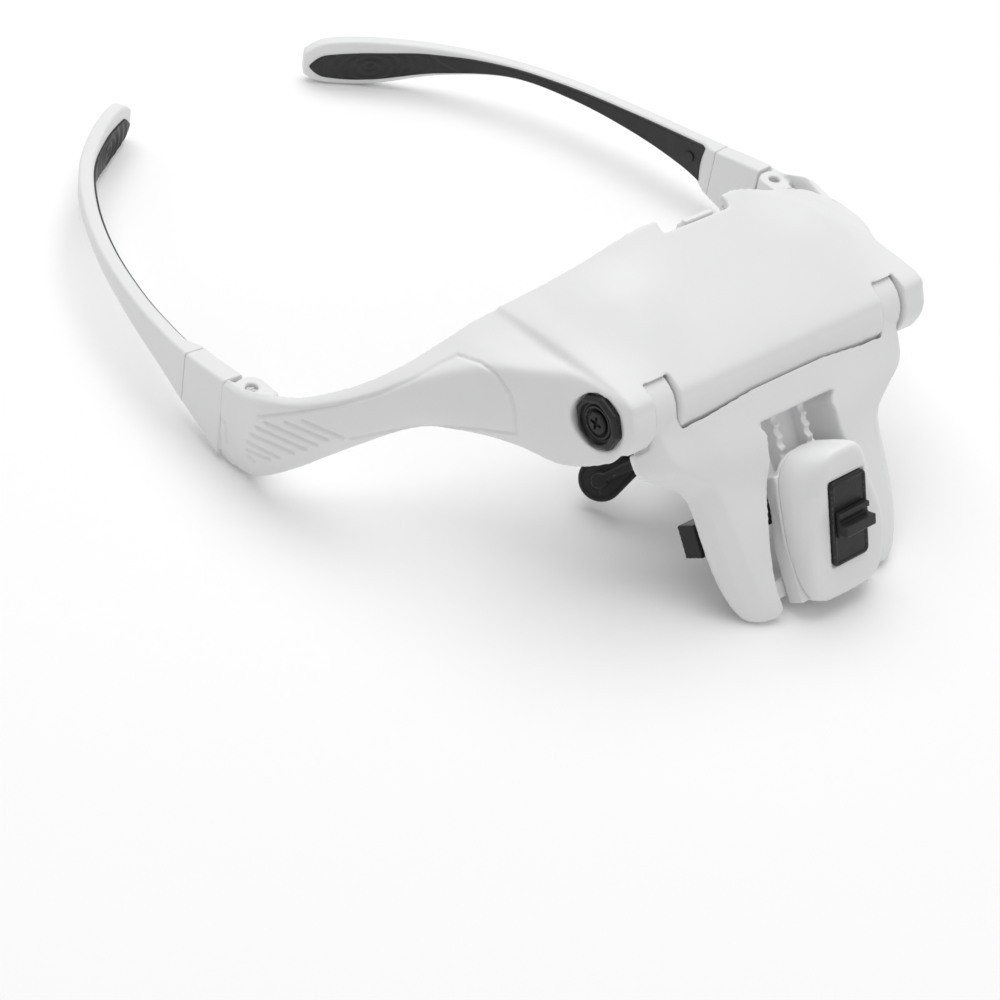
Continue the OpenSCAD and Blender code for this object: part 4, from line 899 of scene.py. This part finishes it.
def build_temple():
    """Arm with a rounded end and a tongue that goes into the link. It is thinner where the lining lies on it."""
    rings = []
    for u in np.linspace(LINK_U + 0.002, 1, 260):
        far = lerp(4.6, TEMPLE_T + LINING_T - 0.38, min(max((u - LINING_FROM + 0.02) / 0.04, 0), 1))
        end = max(0, (u - 0.985) / 0.015)
        shrink = 1 - math.sqrt(max(0, 1 - end * end))
        rings.append(section(u, 0.02 + 0.8 * shrink, far - 0.8 * shrink, 1.6 * shrink, 1.6 * shrink, 0.75))
    s = temple_at(LINK_U)
    tongue = box([s[0] - 3.6, s[1] - 6, s[2] + 3], [s[0] - 1.4, s[1] + 0.6, s[3] - 3])
    return merge([loft(rings), tongue])


def build_hinge_screw():
    shank = upright(HINGE[0], HINGE[1], LUG_LOW + 0.3, LUG_TOP - 1, 0.95)
    head = upright(HINGE[0], HINGE[1], LUG_TOP - 1.3, LUG_TOP - 0.7, 1.2)
    slot = box([HINGE[0] - 1.3, HINGE[1] - 0.2, LUG_TOP - 0.95], [HINGE[0] + 1.3, HINGE[1] + 0.2, LUG_TOP])
    return [shank, head], [slot]


def build_link():
    rings = [section(u, 0.02, 4.8, 0, 0, 0.8) for u in np.linspace(0, LINK_U, 60)]
    # The lip reaches under the wing's end, and the tongue stands between its lugs
    edge = section(0, 0.75, 1.5, 1, 1, 0.3)
    lip = loft([edge, [[x - 0.1, y - 0.9, z] for x, y, z in edge]])
    low, high = TONGUE
    tongue = [upright(HINGE[0], HINGE[1], low, high, 2),
              box([HINGE[0] - 1.9, HINGE[1], low], [HINGE[0] + 1.9, -0.8, high])]
    s = temple_at(LINK_U)
    cuts = [upright(HINGE[0], HINGE[1], 0, 30, 1.06),
            box([s[0] - 3.72, s[1] - 6.12, s[2] + 2.88], [s[0] - 1.28, s[1] + 2, s[3] - 2.88])]
    return [loft(rings), lip] + tongue, cuts


# Lining: insets from the temple's upper and lower edge along it, and ripples round a point of the wide end
INSET_U = [LINING_FROM, 0.6, 0.66, 0.695, 0.727, 0.78, 0.86, 0.97]
INSET_TOP = [0.5, 0.5, 0.9, 1.5, 1.65, 2.6, 3.1, 3.1]
INSET_LOW = [0.5, 0.4, 0.5, 0.7, 1.0, 1.25, 1.45, 1.9]
WIDE_FROM = 0.68
LINING_TO = 0.962
RIPPLE_U = 0.805
RIPPLE_REACH = 15
RIPPLE_PITCH = 1.6
RIPPLE_DEPTH = 0.34
RIM_W = 0.6


def eased(u, values):
    """Reads a row of the inset table at u, with its corners rounded off."""
    return np.mean([np.interp(u + k * 0.006, INSET_U, values) for k in range(-3, 4)])


def build_lining():
    """Soft pad on the temple's inner face, with a hollowed front end and ripples on its wide rear end."""
    us = np.concatenate([np.linspace(LINING_FROM, WIDE_FROM, 260),
                         np.linspace(WIDE_FROM, LINING_TO, 420)[1:]])
    across = np.linspace(-1, 1, 73)
    places = np.array([temple_at(u) for u in us])
    reach = np.concatenate([[0], np.cumsum(np.linalg.norm(np.diff(places[:, :2], axis=0), axis=1))])
    middle = np.interp(RIPPLE_U, us, reach)
    face, back = [], []
    for i, u in enumerate(us):
        top, low = eased(u, INSET_TOP), eased(u, INSET_LOW)
        row, under = [], []
        for s in across:
            # The front end is set back towards the middle of its height
            shift = 0.013 * (1 - s * s) * max(0, 1 - (u - LINING_FROM) / 0.05)
            x, y, z0, z1 = temple_at(u + shift)
            n = temple_side(u + shift)
            a, b = z0 + low, z1 - top
            narrow = math.sqrt(max(0.0004, 1 - max(0, (u - 0.9) / 0.0622) ** 2))
            half = (b - a) / 2 * narrow
            z = (a + b) / 2 + s * half
            rim = min((1 - abs(s)) * half, max((u - LINING_FROM) * 190, 0) + 0.02, 1.0)
            height = (LINING_T - 0.15) * math.sqrt(max(0, 1 - (1 - min(rim / RIM_W, 1)) ** 2))
            d = math.hypot((reach[i] - middle) * 0.62, z - (a + b) / 2)
            fade = max(0, 1 - (abs(reach[i] - middle) / RIPPLE_REACH) ** 4) * min(1, max(0, rim - 0.25) * 2.2)
            height -= RIPPLE_DEPTH * fade * (0.5 - 0.5 * math.cos(2 * math.pi * d / RIPPLE_PITCH))
            depth = TEMPLE_T + 0.3 + max(height, 0.02)
            row.append([x + n[0] * depth, y + n[1] * depth, z])
            under.append([x + n[0] * (TEMPLE_T - 0.02), y + n[1] * (TEMPLE_T - 0.02), z])
        face.append(row)
        back.append(under)
    return layer(np.array(face), np.array(back))


# Lines pressed into both wings, as places in the picture on the right one: the panel's outline, the grip
# grooves, and the line before the wing's end
PANEL = [(258.9, 416.1), (300, 411.6), (335.7, 406.3), (378.6, 394.6), (414.3, 378.6), (437.5, 364.3),
         (457, 355), (480, 362.5), (497.6, 375), (510.8, 394), (515.8, 411.7), (515.8, 433.7), (480, 429),
         (447, 426.4), (416, 426.4), (383, 432), (352, 438.5)]
GRIPS = [((302.7, 420.5), (342.9, 437.5)), ((285.7, 422.3), (326.8, 439.3)), ((265.2, 422.3), (316.1, 444.6)),
         ((256.3, 426.8), (305.4, 449.1)), ((250.9, 433.9), (292.9, 452.7)), ((248.2, 442), (277.7, 457.1)),
         ((247.3, 450), (268.8, 458.9)), ((248.2, 457.1), (253.6, 460.7))]
WING_LINE = [(225, 423), (225.6, 433), (227, 443)]
MARKS = [(PANEL, 0.55, 0.38), *((grip, 0.62, 0.45) for grip in GRIPS), (WING_LINE, 0.5, 0.35)]
visor = build_visor()
for line, half_width, depth in MARKS:
    path = seen(visor, line, 4)
    if len(path) > 1:
        press(visor, path, half_width, depth)
        press(visor, path * [-1, 1, 1], half_width, depth)
finished(visor, "visor", WHITE, ["visor_shell"])
finished(build_brow_cover(), "visor", INNER, ["brow_cover"])

finished(build_rail(), "bracket", WHITE)
finished(build_bracket(), "bracket", WHITE, ["flip_bracket"])
finished(build_lamp_front(), "lamp", WHITE, ["lamp_front_cover"])
finished(build_lamp_rear(), "lamp", WHITE, ["lamp_rear_housing"])
finished(build_plate(), "lamp", BLACK, ["switch_bezel"])
finished(build_slider(), "switch", BLACK, ["switch_slider"])
finished(build_carrier(), "bracket", BLACK, ["lens_carrier"])
finished(build_nose_bracket(), "visor", BLACK, ["nose_bracket"])

# Pieces that come in pairs
knob = build_knob()
screw_head = build_screw_head()
cross_screw = mesh_arrays(screw_head)[0], [tuple(p.vertices) for p in screw_head.data.polygons]
bpy.data.objects.remove(screw_head)
pad = build_pad()
temple = build_temple()
link_adds, link_cuts = build_link()
pin_adds, pin_cuts = build_hinge_screw()
lining = build_lining()
for side, way in (("left", lambda part: part), ("right", mirrored)):
    arm = side + "_arm"
    finished(new_object(side + "_octagon_knob", way(knob)), "bracket", BLACK,
             [side + "_pivot_knob"])
    finished(new_object(side + "_cross_screw", way(cross_screw)), "bracket", DARK_STEEL,
             [side + "_pivot_screw"])
    finished(new_object(side + "_soft_nose_pad", way(pad)), side + "_pad", RUBBER,
             [side + "_nose_pad"])
    finished(new_object(side + "_temple_arm", way(temple)), arm, WHITE, [side + "_temple"])
    link = moulded(side + "_link", [way(p) for p in link_adds], [way(p) for p in link_cuts],
                   voxel=0.22, soften=4)
    finished(link, arm, WHITE, [side + "_hinge_link"])
    pin = moulded(side + "_slotted_hinge_screw", [way(p) for p in pin_adds], [way(p) for p in pin_cuts],
                  voxel=0.1, soften=2)
    finished(pin, "visor", STEEL, [side + "_hinge_screw"])
    finished(new_object(side + "_soft_lining", way(lining)), arm, RUBBER,
             [side + "_temple_lining"])


# Camera, floor and light
SENSOR = 36
camera_data = bpy.data.cameras.new("camera")
camera_data.lens = SENSOR * FOCAL / PICTURE
camera_data.sensor_width = SENSOR
camera_data.clip_start = 0.01
camera_data.clip_end = 20
camera = bpy.data.objects.new("camera", camera_data)
rows = [[RIGHT[k], UP[k], -FORWARD[k], EYE[k] / 1000] for k in range(3)]
camera.matrix_world = Matrix(rows + [[0, 0, 0, 1]])
bpy.context.scene.collection.objects.link(camera)
bpy.context.scene.camera = camera

# The floor lies just under the legs' ends, so that they don't share a plane
FLOOR_HALF, FLOOR_Z = 3, -0.00005
corners = [[x * FLOOR_HALF, y * FLOOR_HALF, FLOOR_Z] for x, y in ((-1, -1), (1, -1), (1, 1), (-1, 1))]
floor = new_object("floor", (np.array(corners, float), [(0, 1, 2, 3)]))
pale = material("pale_floor", (0.985, 0.985, 0.985), (0.975, 0.975, 0.975), 0.8, bump=0.02, broad=3)
floor.data.materials.append(pale)


def area_light(name, place, target, size, energy):
    data = bpy.data.lights.new(name, "AREA")
    data.size = size
    data.energy = energy
    light = bpy.data.objects.new(name, data)
    light.location = place
    light.rotation_euler = (Vector(target) - Vector(place)).to_track_quat("-Z", "Y").to_euler()
    bpy.context.scene.collection.objects.link(light)


area_light("overhead", (0.15, 0.3, 1.15), (0, 0, 0), 1.3, 11.1)
area_light("fill", (0.5, -1.0, 0.6), (0, -0.02, 0.02), 0.9, 1.2)
world = bpy.data.worlds.new("studio")
bpy.context.scene.world = world
world.use_nodes = True
world.node_tree.nodes["Background"].inputs["Color"].default_value = (1, 1, 1, 1)
world.node_tree.nodes["Background"].inputs["Strength"].default_value = 0.46
bpy.context.scene.view_settings.view_transform = "Standard"

bpy.context.view_layer.update()
